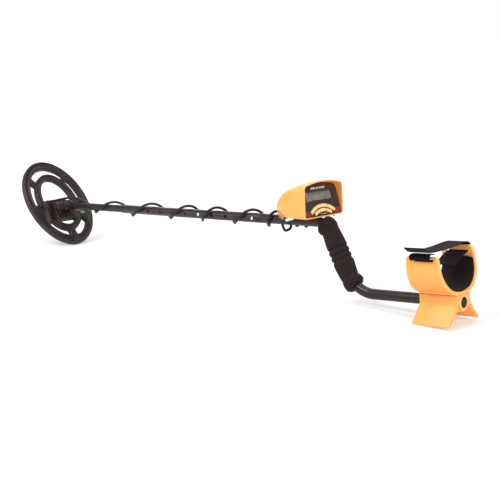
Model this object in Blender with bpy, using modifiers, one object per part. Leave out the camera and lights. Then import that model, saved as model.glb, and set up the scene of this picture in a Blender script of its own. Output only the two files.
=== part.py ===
"""Hand-held metal detector: elliptical search coil on a three-piece telescoping
stem, S-bent handle with a foam grip, control box and arm cuff on a floor stand.

Frame: metres, +Z up, the user stands at +X and sweeps the coil at -X, the
user's left hand side is -Y.  The detector stands as it is put down on a floor:
on the lower edge of the coil and on the two feet of the cuff stand.
"""
import bpy
import bmesh
import math
from mathutils import Vector, Matrix
from mathutils.geometry import tessellate_polygon

# ----------------------------------------------------------------------------
# driving dimensions (metres, degrees)
# ----------------------------------------------------------------------------
GAP = 0.0003                      # clearance between touching pieces
ORIGIN_X = 0.5113                 # moves the middle of the box to x = 0
ORIGIN_Z = 0.0000

PIVOT = (0.03125, 0.0, 0.0890)    # coil hub bolt
STEM_PITCH = 3.5                  # the stem rises toward the user
COIL_PITCH = 50.6                 # front edge of the coil lifted off the floor

COIL_A, COIL_B = 0.1145, 0.0825   # outer half axes of the coil (229 x 165 mm)
COIL_T = 0.014
COIL_CX = -0.0219                 # coil centre, measured from the hub bolt
COIL_CZ = -0.0225
RING_OUT = ((0.0935, 0.0650), (0.0785, 0.0540))   # slots between the rings
INNER_WIN = (0.0620, 0.0390)
HUB_FRONT, HUB_REAR = 0.002, -0.050
UPPER_T = 0.0095

EAR_IN, EAR_OUT, EAR_R = 0.0136, 0.0186, 0.0092
BOLT_R = 0.0028

LOW_R, LOW_IN = 0.0080, 0.0065    # lower stem
MID_R, MID_IN = 0.00925, 0.0083   # middle stem
TOP_R, TOP_IN = 0.00925, 0.0079   # handle tube
LOW_S0, LOW_S1 = 0.0240, 0.4900
MID_S0, MID_S1 = 0.2124, 0.6300
SPIGOT_S0 = 0.5860
HOLE_PITCH = 0.0384
HOLE_FIRST = 0.3068
N_HOLES = 7
LOW_BUTTON = HOLE_FIRST + 4 * HOLE_PITCH          # 0.4604
UP_BUTTON = 0.6087
BUTTON_R = 0.0030

# handle: intersection points of the three straight runs, in the x-z plane
BEND_1 = (0.8139, 0.1369)
BEND_2 = (0.8817, 0.0195)
BEND_1_R, BEND_2_R = 0.035, 0.060
REAR_PITCH = 5.28
TUBE_END_X = 1.0935

# control box, in the stem frame (s along the stem, w above it)
BOX_REAR, BOX_NOSE = 0.7789, 0.6775
BOX_HALF_W = 0.0544
BOX_TOP, BOX_FLOOR = 0.0757, 0.0100
BOX_WALL = 0.0024
PANEL_TILT = 16.0
PANEL_S, PANEL_W = 0.7700, 0.0410   # a point on the front face of the panel

CUFF_U0, CUFF_U1 = 0.0255, 0.0960
CUFF_HALF_W, CUFF_BOTTOM, CUFF_MID = 0.0560, 0.0138, 0.0650
CUFF_TOP_LEFT, CUFF_TOP_RIGHT, CUFF_POWER = 0.0810, 0.0855, 2.3
CUFF_WALL = 0.0038
LINER_T = 0.0030
FOOT_Y, FOOT_W = 0.0480, -0.0331
STRAP_W, STRAP_T = 0.0380, 0.0020
CABLE_R = 0.0026

# ----------------------------------------------------------------------------
# clean scene, collections, frames
# ----------------------------------------------------------------------------
for ob in list(bpy.data.objects):
    bpy.data.objects.remove(ob, do_unlink=True)

parts = bpy.data.collections.new("metal_detector")
tools = bpy.data.collections.new("cutters")
bpy.context.scene.collection.children.link(parts)
bpy.context.scene.collection.children.link(tools)


def empty(name, loc, rot_y=0.0, parent=None):
    e = bpy.data.objects.new(name, None)
    e.empty_display_size = 0.02
    e.location = loc
    e.rotation_euler = (0.0, math.radians(rot_y), 0.0)
    e.parent = parent
    parts.objects.link(e)
    return e


ROOT = empty("origin", (-ORIGIN_X, 0.0, ORIGIN_Z))
STEM = empty("stem_axis", PIVOT, -STEM_PITCH, ROOT)
COIL = empty("coil_axis", PIVOT, COIL_PITCH, ROOT)
REAR = empty("rear_axis", (1.0, 0.0, 0.0304), -REAR_PITCH, ROOT)
PANEL = empty("panel_axis", (PANEL_S, 0.0, PANEL_W), 0.0, STEM)
# panel frame: local x = user's right (+Y), local y = up the panel, local z = outward
PANEL.rotation_mode = 'QUATERNION'
_t = math.radians(PANEL_TILT)
_m = Matrix(((0.0, -math.sin(_t), math.cos(_t)),
             (1.0, 0.0, 0.0),
             (0.0, math.cos(_t), math.sin(_t))))
PANEL.rotation_quaternion = _m.to_quaternion()

# ----------------------------------------------------------------------------
# materials
# ----------------------------------------------------------------------------
_mats = {}


def material(name, rgb, rough, metal=0.0):
    m = bpy.data.materials.new(name)
    m.use_nodes = True
    b = m.node_tree.nodes["Principled BSDF"]
    b.inputs["Base Color"].default_value = (rgb[0], rgb[1], rgb[2], 1.0)
    b.inputs["Roughness"].default_value = rough
    b.inputs["Metallic"].default_value = metal
    m.diffuse_color = (rgb[0], rgb[1], rgb[2], 1.0)
    return m


LOOKS = {
    "yellow": ((0.93, 0.50, 0.10), 0.45, 0.0),
    "black_plastic": ((0.035, 0.028, 0.028), 0.5, 0.0),
    "tube": ((0.03, 0.026, 0.026), 0.35, 0.3),
    "rubber": ((0.02, 0.02, 0.02), 0.8, 0.0),
    "foam": ((0.018, 0.016, 0.016), 0.95, 0.0),
    "webbing": ((0.02, 0.018, 0.02), 0.9, 0.0),
    "steel": ((0.62, 0.62, 0.63), 0.3, 1.0),
    "copper": ((0.75, 0.34, 0.17), 0.35, 1.0),
    "board": ((0.02, 0.20, 0.08), 0.5, 0.0),
    "key": ((0.95, 0.72, 0.30), 0.5, 0.0),
    "panel": ((0.06, 0.025, 0.025), 0.4, 0.0),
    "lcd": ((0.30, 0.31, 0.27), 0.3, 0.0),
    "clear": ((0.35, 0.36, 0.34), 0.1, 0.0),
    "cell": ((0.10, 0.11, 0.12), 0.4, 0.2),
}


def finish(ob, look, parent=None, smooth=True):
    """Give an object its own material, its collection and its parent."""
    spec = LOOKS[look]
    ob.data.materials.clear()
    ob.data.materials.append(material(ob.name + "_mat", *spec))
    if parent is not None:
        ob.parent = parent
    if smooth and ob.type == 'MESH':
        ob.data.shade_smooth()
        ob.data.set_sharp_from_angle(angle=math.radians(35))
    return ob


def link(ob, coll=parts):
    coll.objects.link(ob)
    return ob


def mesh_object(name, bm, coll=parts):
    bmesh.ops.recalc_face_normals(bm, faces=bm.faces)
    me = bpy.data.meshes.new(name)
    bm.to_mesh(me)
    bm.free()
    return link(bpy.data.objects.new(name, me), coll)


def as_cutter(ob):
    for c in list(ob.users_collection):
        c.objects.unlink(ob)
    tools.objects.link(ob)
    ob.hide_render = True
    ob.display_type = 'WIRE'
    return ob


def boolean(ob, cutter, op='DIFFERENCE'):
    m = ob.modifiers.new("cut", 'BOOLEAN')
    m.operation = op
    m.solver = 'EXACT'
    m.object = cutter
    return m


def bevel(ob, width, segments=2, angle=40):
    m = ob.modifiers.new("bevel", 'BEVEL')
    m.width = width
    m.segments = segments
    m.limit_method = 'ANGLE'
    m.angle_limit = math.radians(angle)
    m.use_clamp_overlap = True
    return m


def solidify(ob, thickness, offset=-1.0):
    m = ob.modifiers.new("solidify", 'SOLIDIFY')
    m.thickness = thickness
    m.offset = offset
    return m


def box(name, lo, hi, look=None, parent=None, bev=0.0, seg=2):
    bm = bmesh.new()
    bmesh.ops.create_cube(bm, size=1.0)
    for v in bm.verts:
        v.co = Vector([(lo[i] + hi[i]) / 2 + v.co[i] * (hi[i] - lo[i]) for i in range(3)])
    ob = mesh_object(name, bm)
    if look:
        finish(ob, look, parent)
    elif parent:
        ob.parent = parent
    if bev:
        bevel(ob, bev, seg)
    return ob


def add_cylinder(bm, p0, p1, r0, r1=None, n=20, turn=0.0):
    """A capped cylinder or cone from p0 to p1, added to a bmesh."""
    p0, p1 = Vector(p0), Vector(p1)
    axis = p1 - p0
    rot = axis.to_track_quat('Z', 'Y').to_matrix().to_4x4()
    mat = Matrix.Translation((p0 + p1) / 2) @ rot @ Matrix.Rotation(turn, 4, 'Z')
    bmesh.ops.create_cone(bm, cap_ends=True, segments=n, radius1=r0,
                          radius2=r0 if r1 is None else r1, depth=axis.length, matrix=mat)


def cylinder(name, p0, p1, r, look=None, parent=None, n=20, bev=0.0, r1=None, turn=0.0):
    bm = bmesh.new()
    add_cylinder(bm, p0, p1, r, r1, n, turn)
    ob = mesh_object(name, bm)
    if look:
        finish(ob, look, parent)
    elif parent:
        ob.parent = parent
    if bev:
        bevel(ob, bev, 1)
    return ob


def cylinders(name, rods, n=8):
    """Several separate rods in one cutter."""
    bm = bmesh.new()
    for p0, p1, r in rods:
        add_cylinder(bm, p0, p1, r, n=n, turn=math.radians(11))
    return mesh_object(name, bm)


def turned(name, profile, look, parent, steps=24, axis='Z', loc=(0, 0, 0), closed=False):
    """A turned piece: the (radius, height) profile runs down its outer side."""
    bm = bmesh.new()
    vs = [bm.verts.new((r, 0.0, z)) for r, z in profile]
    for a, b in zip(vs[:-1], vs[1:]):
        bm.edges.new((a, b))
    if closed:
        bm.edges.new((vs[-1], vs[0]))
    me = bpy.data.meshes.new(name)
    bm.to_mesh(me)
    bm.free()
    ob = link(bpy.data.objects.new(name, me))
    m = ob.modifiers.new("screw", 'SCREW')
    m.steps = steps
    m.render_steps = steps
    m.angle = 2 * math.pi
    m.axis = 'Z'
    m.use_merge_vertices = True
    m.merge_threshold = 0.00005
    finish(ob, look, parent, smooth=False)
    m.use_smooth_shade = True
    if axis == 'X':
        ob.rotation_euler = (0.0, math.pi / 2, 0.0)
    elif axis == '-Y':
        ob.rotation_euler = (math.pi / 2, 0.0, 0.0)
    elif axis == 'Y':
        ob.rotation_euler = (-math.pi / 2, 0.0, 0.0)
    ob.location = loc
    return ob


def outline(name, rings, z0, z1):
    """A flat plate: the first ring is the outline, the others are holes."""
    cu = bpy.data.curves.new(name + "_cu", 'CURVE')
    cu.dimensions = '2D'
    cu.fill_mode = 'BOTH'
    cu.extrude = (z1 - z0) / 2
    for ring in rings:
        sp = cu.splines.new('POLY')
        sp.points.add(len(ring) - 1)
        for p, (x, y) in zip(sp.points, ring):
            p.co = (x, y, 0.0, 1.0)
        sp.use_cyclic_u = True
    ob = link(bpy.data.objects.new(name + "_cu", cu))
    bpy.context.view_layer.update()
    deps = bpy.context.evaluated_depsgraph_get()
    me = bpy.data.meshes.new_from_object(ob.evaluated_get(deps))
    bm = bmesh.new()
    bm.from_mesh(me)
    bmesh.ops.remove_doubles(bm, verts=bm.verts, dist=1e-6)
    bmesh.ops.dissolve_limit(bm, angle_limit=0.001, verts=bm.verts, edges=bm.edges)
    for v in bm.verts:
        v.co.z += (z0 + z1) / 2
    bmesh.ops.recalc_face_normals(bm, faces=bm.faces)
    bm.to_mesh(me)
    bm.free()
    me.name = name
    bpy.data.objects.remove(ob, do_unlink=True)
    return link(bpy.data.objects.new(name, me))


def plate(name, rings, rows):
    """A flat moulding with shaped edges: the first ring is the outline, the others
    are holes; rows are (height, distance the edge is drawn back into the material)."""
    bm = bmesh.new()
    grid = []
    for z, back in rows:
        level = []
        for k, ring in enumerate(rings):
            area = sum(ring[i - 1][0] * ring[i][1] - ring[i][0] * ring[i - 1][1] for i in range(len(ring)))
            sgn = (1.0 if area > 0 else -1.0) * (1.0 if k == 0 else -1.0)
            vs = []
            for i in range(len(ring)):
                p0, p1, p2 = Vector(ring[i - 1]), Vector(ring[i]), Vector(ring[(i + 1) % len(ring)])
                d0, d1 = (p1 - p0).normalized(), (p2 - p1).normalized()
                n0, n1 = Vector((-d0.y, d0.x)), Vector((-d1.y, d1.x))
                n = n0 + n1
                n = n / max(0.5 * n.length_squared, 0.35) * sgn
                q = p1 + n * back
                vs.append(bm.verts.new((q.x, q.y, z)))
            level.append(vs)
        grid.append(level)
    for la, lb in zip(grid[:-1], grid[1:]):
        for ra, rb in zip(la, lb):
            for i in range(len(ra)):
                j = (i + 1) % len(ra)
                bm.faces.new((ra[i], ra[j], rb[j], rb[i]))
    for level in (grid[0], grid[-1]):
        flat = [v for r in level for v in r]
        for tri in tessellate_polygon([[Vector((v.co.x, v.co.y, 0.0)) for v in r] for r in level]):
            bm.faces.new([flat[i] for i in tri])
    return mesh_object(name, bm)


def swept(name, pts, radius, sides_res=2, radii=None, caps=True):
    """A round sweep along points, as a mesh: a bevelled poly curve, welded."""
    cu = bpy.data.curves.new(name + "_cu", 'CURVE')
    cu.dimensions = '3D'
    cu.bevel_depth = radius
    cu.bevel_resolution = sides_res
    cu.use_fill_caps = caps
    sp = cu.splines.new('POLY')
    sp.points.add(len(pts) - 1)
    for i, (p, q) in enumerate(zip(sp.points, pts)):
        p.co = (q[0], q[1], q[2], 1.0)
        p.radius = 1.0 if radii is None else radii[i] / radius
    ob = link(bpy.data.objects.new(name + "_cu", cu))
    bpy.context.view_layer.update()
    deps = bpy.context.evaluated_depsgraph_get()
    me = bpy.data.meshes.new_from_object(ob.evaluated_get(deps))
    bm = bmesh.new()
    bm.from_mesh(me)
    bmesh.ops.remove_doubles(bm, verts=bm.verts, dist=1e-7)
    bmesh.ops.recalc_face_normals(bm, faces=bm.faces)
    bm.to_mesh(me)
    bm.free()
    me.name = name
    bpy.data.objects.remove(ob, do_unlink=True)
    return link(bpy.data.objects.new(name, me))


def hollow(name, s0, s1, r_out, r_in, parent, n=20):
    """A straight pipe with square ends: outer rod minus inner rod."""
    ob = cylinder(name, (s0, 0, 0), (s1, 0, 0), r_out, parent=parent, n=n)
    cut = as_cutter(cylinder(name + "_bore", (s0 - 0.01, 0, 0), (s1 + 0.01, 0, 0), r_in, parent=parent, n=n))
    boolean(ob, cut)
    return ob


def smoothstep(a, b, x):
    t = min(1.0, max(0.0, (x - a) / (b - a)))
    return t * t * (3 - 2 * t)


def spline(points, n):
    """n points evenly spaced along a centripetal curve through the given points."""
    P = [Vector(p) for p in points]
    P = [P[0] * 2 - P[1]] + P + [P[-1] * 2 - P[-2]]
    fine = []
    for i in range(1, len(P) - 2):
        p0, p1, p2, p3 = P[i - 1:i + 3]
        t0 = 0.0
        t1 = t0 + max((p1 - p0).length, 1e-9) ** 0.5
        t2 = t1 + max((p2 - p1).length, 1e-9) ** 0.5
        t3 = t2 + max((p3 - p2).length, 1e-9) ** 0.5
        for k in range(24):
            t = t1 + (t2 - t1) * k / 24.0
            a1 = p0 * ((t1 - t) / (t1 - t0)) + p1 * ((t - t0) / (t1 - t0))
            a2 = p1 * ((t2 - t) / (t2 - t1)) + p2 * ((t - t1) / (t2 - t1))
            a3 = p2 * ((t3 - t) / (t3 - t2)) + p3 * ((t - t2) / (t3 - t2))
            b1 = a1 * ((t2 - t) / (t2 - t0)) + a2 * ((t - t0) / (t2 - t0))
            b2 = a2 * ((t3 - t) / (t3 - t1)) + a3 * ((t - t1) / (t3 - t1))
            fine.append(b1 * ((t2 - t) / (t2 - t1)) + b2 * ((t - t1) / (t2 - t1)))
    fine.append(P[-2])
    acc = [0.0]
    for a, b in zip(fine[:-1], fine[1:]):
        acc.append(acc[-1] + (b - a).length)
    out, j = [], 0
    for i in range(n):
        d = acc[-1] * i / (n - 1)
        while j < len(acc) - 2 and acc[j + 1] < d:
            j += 1
        f = (d - acc[j]) / max(acc[j + 1] - acc[j], 1e-12)
        out.append(fine[j].lerp(fine[j + 1], min(1.0, f)))
    return out, acc[-1]


def stem_point(s, y, w):
    """World point (before the origin shift) of a point in the stem frame."""
    a = math.radians(STEM_PITCH)
    return Vector((PIVOT[0] + s * math.cos(a) - w * math.sin(a), y,
                   PIVOT[2] + s * math.sin(a) + w * math.cos(a)))


def coil_point(x, y, z):
    a = math.radians(COIL_PITCH)
    return Vector((PIVOT[0] + x * math.cos(a) + z * math.sin(a), y,
                   PIVOT[2] - x * math.sin(a) + z * math.cos(a)))


# ----------------------------------------------------------------------------
# search coil
# ----------------------------------------------------------------------------
def ell(a, b, t0, t1, n):
    """Points of an ellipse about the coil centre; 0 degrees is the front edge."""
    out = []
    for i in range(n + 1):
        t = math.radians(t0 + (t1 - t0) * i / n)
        out.append((COIL_CX - a * math.cos(t), b * math.sin(t)))
    return out


def coil_rings():
    (ao, bo), (ai, bi) = RING_OUT
    rings = [ell(COIL_A, COIL_B, 0, 360, 48)[:-1]]
    for t0, t1, n in ((-42, 42, 9), (53, 92, 5), (-92, -53, 5), (129, 172, 5), (188, 231, 5)):
        rings.append(ell(ao, bo, t0, t1, n) + ell(ai, bi, t1, t0, n))
    t_front = math.degrees(math.acos(HUB_FRONT / INNER_WIN[0]))
    rings.append(ell(INNER_WIN[0], INNER_WIN[1], -t_front, t_front, 15))
    t_rear = math.degrees(math.acos(HUB_REAR / INNER_WIN[0]))
    rings.append(ell(INNER_WIN[0], INNER_WIN[1], t_rear, 360 - t_rear, 8))
    return rings


Z_TOP = COIL_CZ + COIL_T / 2
Z_SPLIT = Z_TOP - UPPER_T
Z_BOT = COIL_CZ - COIL_T / 2

upper = plate("coil_upper_shell", coil_rings(),
              [(Z_SPLIT + GAP, 0.0), (Z_TOP - 0.0036, 0.0), (Z_TOP - 0.0010, 0.0010), (Z_TOP, 0.0036)])
finish(upper, "black_plastic", COIL)
for side in (-1, 1):
    lo, hi = sorted((side * EAR_IN, side * EAR_OUT))
    ring = []
    for i in range(13):
        a = math.radians(180.0 * i / 12)
        ring.append((EAR_R * math.cos(a), EAR_R * math.sin(a)))
    ring += [(-0.0125, Z_TOP - 0.003), (0.0125, Z_TOP - 0.003)]
    ear = outline("ear_%s" % ("l" if side < 0 else "r"), [ring], lo, hi)
    # outline is drawn in x-y: stand it up so that y becomes z
    ear.rotation_euler = (math.pi / 2, 0.0, 0.0)
    ear.data.transform(Matrix.Scale(-1, 4, (0, 0, 1)))
    bmf = bmesh.new(); bmf.from_mesh(ear.data); bmesh.ops.recalc_face_normals(bmf, faces=bmf.faces); bmf.to_mesh(ear.data); bmf.free()
    ear.parent = COIL
    as_cutter(ear)
    boolean(upper, ear, 'UNION')
boolean(upper, as_cutter(cylinder("ear_bore", (0, -0.03, 0), (0, 0.03, 0), BOLT_R + GAP, parent=COIL, n=16)))


def ring_solid(name, a_out, b_out, a_in, b_in, z0, z1, n=48):
    return outline(name, [ell(a_out, b_out, 0, 360, n)[:-1], ell(a_in, b_in, 0, 360, n)[:-1]], z0, z1)


for nm, o, i in (("groove_out", (0.1100, 0.0780), (0.0980, 0.0695)),
                 ("groove_in", (0.0750, 0.0505), (0.0655, 0.0425))):
    g = ring_solid(nm, o[0], o[1], i[0], i[1], Z_SPLIT - 0.002, Z_SPLIT + 0.0055, 32)
    g.parent = COIL
    boolean(upper, as_cutter(g))
w = ring_solid("transmit_winding", 0.1094, 0.0774, 0.0986, 0.0701, Z_SPLIT + 0.0008, Z_SPLIT + 0.0051, 32)
finish(w, "copper", COIL)
w = ring_solid("receive_winding", 0.0744, 0.0499, 0.0661, 0.0431, Z_SPLIT + 0.0008, Z_SPLIT + 0.0051, 32)
finish(w, "copper", COIL)

lower = plate("coil_lower_shell", coil_rings(),
              [(Z_BOT, 0.0031), (Z_BOT + 0.0009, 0.0009), (Z_BOT + 0.0031, 0.0), (Z_SPLIT, 0.0)])
finish(lower, "black_plastic", COIL)

# strain relief where the cable leaves the coil
GLAND = (-0.0176, -0.0350)
gland = turned("coil_cable_gland",
               [(0.0, 0.0125), (0.0036, 0.0125), (0.0046, 0.0), (0.0060, 0.0), (0.0060, -0.0022), (0.0, -0.0022)],
               "rubber", COIL, 16)
GLAND_DIR = Vector((0.10, 0.85, 0.50)).normalized()
gland.rotation_mode = 'QUATERNION'
gland.rotation_quaternion = Vector((0, 0, 1)).rotation_difference(GLAND_DIR)
gland.location = Vector((GLAND[0], GLAND[1], Z_TOP + 0.0068))

# hub bolt, washers and thumb nut
bolt = turned("coil_hub_bolt",
              [(0.0, 0.0235), (0.0052, 0.0235), (0.0060, 0.0225), (0.0060, EAR_OUT + GAP), (BOLT_R, EAR_OUT + GAP),
               (BOLT_R, -0.0290), (0.0, -0.0290)], "steel", COIL, 16, axis='Y')
for side, nm in ((-1, "hub_washer_left"), (1, "hub_washer_right")):
    lo, hi = 0.0113, 0.0133
    ws = turned(nm, [(0.0090, hi), (0.0090, lo), (BOLT_R + GAP, lo), (BOLT_R + GAP, hi)], "rubber", COIL, 16,
                axis='Y' if side > 0 else '-Y', closed=True)
knob = outline("hub_thumb_nut",
               [[((0.0108 if i % 4 in (0, 1) else 0.0094) * math.cos(2 * math.pi * i / 32),
                  (0.0108 if i % 4 in (0, 1) else 0.0094) * math.sin(2 * math.pi * i / 32)) for i in range(32)],
                [((BOLT_R + GAP) * math.cos(2 * math.pi * i / 12), (BOLT_R + GAP) * math.sin(2 * math.pi * i / 12))
                 for i in range(12)]], EAR_OUT + GAP, 0.0310)
knob.rotation_euler = (math.pi / 2, 0.0, 0.0)
finish(knob, "black_plastic", COIL)

# ----------------------------------------------------------------------------
# stem: lower, middle and handle tube
# ----------------------------------------------------------------------------
yoke = outline("stem_yoke_tip",
               [[(0.0095 * math.cos(math.radians(90 + 180 * i / 12)), 0.0095 * math.sin(math.radians(90 + 180 * i / 12)))
                 for i in range(13)] + [(0.0120, -0.0095), (0.0235, -0.0082), (0.0235, 0.0082), (0.0120, 0.0095)]],
               -0.0110, 0.0110)
yoke.rotation_euler = (math.pi / 2, 0.0, 0.0)
finish(yoke, "black_plastic", STEM)
boolean(yoke, as_cutter(cylinder("yoke_spigot", (0.0200, 0, 0), (0.0520, 0, 0), LOW_IN - GAP, parent=STEM, n=20)), 'UNION')
boolean(yoke, as_cutter(cylinder("yoke_bore", (0, -0.03, 0), (0, 0.03, 0), BOLT_R + GAP, parent=STEM, n=16)))

low = finish(hollow("lower_stem_tube", LOW_S0, LOW_S1, LOW_R, LOW_IN, STEM), "tube")
boolean(low, as_cutter(cylinders("low_hole", [((LOW_BUTTON, -0.02, 0), (LOW_BUTTON, 0.02, 0), BUTTON_R + GAP)])))
bpy.data.objects["low_hole"].parent = STEM

mid = finish(hollow("middle_stem_tube", MID_S0, MID_S1, MID_R, MID_IN, STEM), "tube")
holes = [((HOLE_FIRST + i * HOLE_PITCH, -0.02, 0), (HOLE_FIRST + i * HOLE_PITCH, 0.02, 0), BUTTON_R + GAP)
         for i in range(N_HOLES)]
holes.append(((UP_BUTTON, -0.02, 0), (UP_BUTTON, 0.02, 0), BUTTON_R + GAP))
c = cylinders("mid_holes", holes)
c.parent = STEM
boolean(mid, as_cutter(c))


def snap_set(prefix, s, tube_in, wall_out):
    """Two spring-loaded buttons pushed out of the tube by a V-shaped leaf spring."""
    tip = wall_out + 0.0012
    for side, nm in ((-1, prefix + "_snap_button_left"), (1, prefix + "_snap_button_right")):
        base = tube_in - 0.0003
        b = turned(nm, [(0.0, tip), (BUTTON_R - 0.0008, tip), (BUTTON_R, tip - 0.0007), (BUTTON_R, base - 0.0014),
                        (0.0, base - 0.0014)], "steel", STEM, 16, axis='Y' if side > 0 else '-Y')
        b.location = (s, 0, 0)
    y = tube_in - 0.0003 - 0.0014 - 0.0003
    t = 0.0006
    pts = [(s - 0.004, y), (s + 0.006, y), (s + 0.026, 0.0020)]
    for i in range(5):
        a = math.radians(90 - 180 * (i + 0) / 4)
        pts.append((s + 0.0270 + 0.0020 * math.cos(a), 0.0020 * math.sin(a)))
    pts += [(s + 0.026, -0.0020), (s + 0.006, -y), (s - 0.004, -y)]
    inner = [(s - 0.004, -y + t), (s + 0.0058, -y + t), (s + 0.0258, -0.0020 + t)]
    for i in range(5):
        a = math.radians(-90 + 180 * i / 4)
        inner.append((s + 0.0268 + (0.0020 - t) * math.cos(a), (0.0020 - t) * math.sin(a)))
    inner += [(s + 0.0258, 0.0020 - t), (s + 0.0058, y - t), (s - 0.004, y - t)]
    sp = outline(prefix + "_snap_spring", [pts + inner], -0.0022, 0.0022)
    finish(sp, "steel", STEM)


snap_set("lower", LOW_BUTTON, LOW_IN, MID_R)
snap_set("upper", UP_BUTTON, 0.0068, MID_R)


def handle_path(n1=6, n2=6):
    """Axis of the handle tube from its front end to its rear end (x, z)."""
    a0 = math.radians(STEM_PITCH)
    d0 = Vector((math.cos(a0), 0, math.sin(a0)))
    p1, p2 = Vector((BEND_1[0], 0, BEND_1[1])), Vector((BEND_2[0], 0, BEND_2[1]))
    d1 = (p2 - p1).normalized()
    a2 = math.radians(REAR_PITCH)
    d2 = Vector((math.cos(a2), 0, math.sin(a2)))

    def fillet(p, da, db, r, n):
        turn = da.angle(db)
        t = r * math.tan(turn / 2)
        a = p - da * t
        nrm = (db - da * da.dot(db)).normalized()
        cen = a + nrm * r
        out = []
        for i in range(n + 1):
            th = turn * i / n
            out.append(cen - nrm * (r * math.cos(th)) + da * (r * math.sin(th)))
        return out

    start = stem_point(MID_S1 + GAP, 0, 0)
    pts = [start] + fillet(p1, d0, d1, BEND_1_R, n1) + fillet(p2, d1, d2, BEND_2_R, n2)
    end = Vector((TUBE_END_X, 0, 0.0304 + (TUBE_END_X - 1.0) * math.tan(a2)))
    pts.append(end)
    return pts


path = handle_path()
handle = swept("handle_tube", path, TOP_R, 4)
bore = swept("handle_bore", [stem_point(MID_S1 + 0.004, 0, 0)] + path[1:-1]
             + [path[-1] + (path[-1] - path[-2]).normalized() * 0.01], TOP_IN, 4)
for o in (handle, bore):
    o.parent = ROOT
finish(handle, "tube")
# reduced front end of the handle tube, which plugs into the middle stem
spig = cylinder("spigot", (SPIGOT_S0, 0, 0), (MID_S1 + 0.003, 0, 0), LOW_R, parent=STEM, n=24)
boolean(handle, as_cutter(spig), 'UNION')
spig_cut = cylinder("spigot_bore", (SPIGOT_S0 - 0.01, 0, 0), (MID_S1 + 0.006, 0, 0), 0.0068, parent=STEM, n=24)
boolean(handle, as_cutter(spig_cut))
boolean(handle, as_cutter(bore))
cuts = cylinders("handle_holes", [((UP_BUTTON, -0.02, 0), (UP_BUTTON, 0.02, 0), BUTTON_R + GAP),
                                  ((0.7136, 0, -0.02), (0.7136, 0, 0.02), 0.0021),
                                  ((0.7356, 0, -0.02), (0.7356, 0, 0.02), 0.0021)])
cuts.parent = STEM
boolean(handle, as_cutter(cuts))
cut = cylinder("cuff_hole", (0.060, 0, -0.02), (0.060, 0, 0.02), 0.0026, parent=REAR, n=12, turn=0.2)
boolean(handle, as_cutter(cut))

u_end = (TUBE_END_X - 1.0) / math.cos(math.radians(REAR_PITCH))
turned("tube_end_cap", [(0.0, u_end + 0.0025), (0.0078, u_end + 0.0025), (0.00925, u_end + 0.0012),
                        (0.00925, u_end + GAP), (TOP_IN - GAP, u_end + GAP), (TOP_IN - GAP - 0.0004, u_end - 0.011), (0.0, u_end - 0.011)],
       "rubber", REAR, 20, axis='X')

# foam grip over the handle bend
fine, _ = spline(handle_path(14, 16), 400)
GRIP_X0, GRIP_X1 = 0.8079, 0.8815
start_i = min(range(len(fine)), key=lambda i: abs(fine[i].x - GRIP_X0) + abs(fine[i].z - 0.1335))
grip_pts, grip_r = [], []
length = 0.1275
prof = [(0.0000, 0.0165), (0.0020, 0.0180), (0.0060, 0.0187), (0.0125, 0.0185), (0.0145, 0.0172), (0.0190, 0.0161),
        (0.0250, 0.0167), (0.0340, 0.0176), (0.0430, 0.0183), (0.0495, 0.0187), (0.0508, 0.0168), (0.0528, 0.0168),
        (0.0545, 0.0184), (0.0595, 0.0189), (0.0625, 0.0169), (0.0645, 0.0169), (0.0660, 0.0187), (0.0705, 0.0188),
        (0.0718, 0.0171), (0.0745, 0.0171), (0.0785, 0.0188), (0.0820, 0.0189), (0.0910, 0.0181), (0.1000, 0.0172),
        (0.1090, 0.0161), (0.1130, 0.0180), (0.1180, 0.0188), (0.1225, 0.0189), (0.1245, 0.0180), (0.1275, 0.0150)]
acc = 0.0
i = start_i
for d, r in prof:
    while acc < d and i < len(fine) - 1:
        acc += (fine[i + 1] - fine[i]).length
        i += 1
    grip_pts.append(fine[i].copy())
    grip_r.append(r)
grip = swept("foam_grip", grip_pts, 0.017, 4, grip_r)
grip.parent = ROOT
finish(grip, "foam")
grip_cut = swept("grip_bore", path, TOP_R + GAP, 4)
grip_cut.parent = ROOT
boolean(grip, as_cutter(grip_cut))


# ----------------------------------------------------------------------------
# control box
# ----------------------------------------------------------------------------
def box_dims(s):
    """Half width, floor, top and corner radius of the control box at station s."""
    t = (BOX_REAR - s) / (BOX_REAR - BOX_NOSE)
    t = min(max(t, -0.2), 0.9995)
    tp = max(t, 0.0)
    half = BOX_HALF_W * (1 - tp ** 2.6) ** 0.55
    mid = 0.026
    top = BOX_TOP - 0.027 * tp ** 1.45
    bot = BOX_FLOOR - 0.0080 * smoothstep(0.58, 0.74, tp)
    v = (1 - tp ** 6) ** 0.5
    return half, mid + (bot - mid) * v, mid + (top - mid) * v, tp


def box_section(s, inset=0.0, n_c=3):
    """Closed section of the control box: list of (y, w), from the lower left round."""
    half, bot, top, t = box_dims(s)
    half -= inset
    bot += inset
    top -= inset
    h = top - bot
    r_low = min(0.0065 + 0.010 * t, half * 0.9, h * 0.40)
    r_top = min(0.0090 + 0.016 * t, half * 0.9, h * 0.45)
    drop = 0.0050 * half / BOX_HALF_W       # the roof is arched
    pts = []

    def arc(cy, cw, r, a0, a1, n):
        for k in range(n + 1):
            a = math.radians(a0 + (a1 - a0) * k / n)
            pts.append((cy + r * math.cos(a), cw + r * math.sin(a)))

    arc(-(half - r_low), bot + r_low, r_low, 270, 180, n_c)       # lower left
    arc(-(half - r_top), top - drop - r_top, r_top, 180, 100, n_c)
    for k in (0.66, 0.33, 0.0, -0.33, -0.66):
        y = -k * (half - r_top)
        pts.append((y, top - drop * (abs(k) ** 2)))
    arc(half - r_top, top - drop - r_top, r_top, 80, 0, n_c)
    arc(half - r_low, bot + r_low, r_low, 0, -90, n_c)
    for k in (0.55, 0.0, -0.55):
        pts.append((k * (half - r_low), bot))
    return pts


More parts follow.
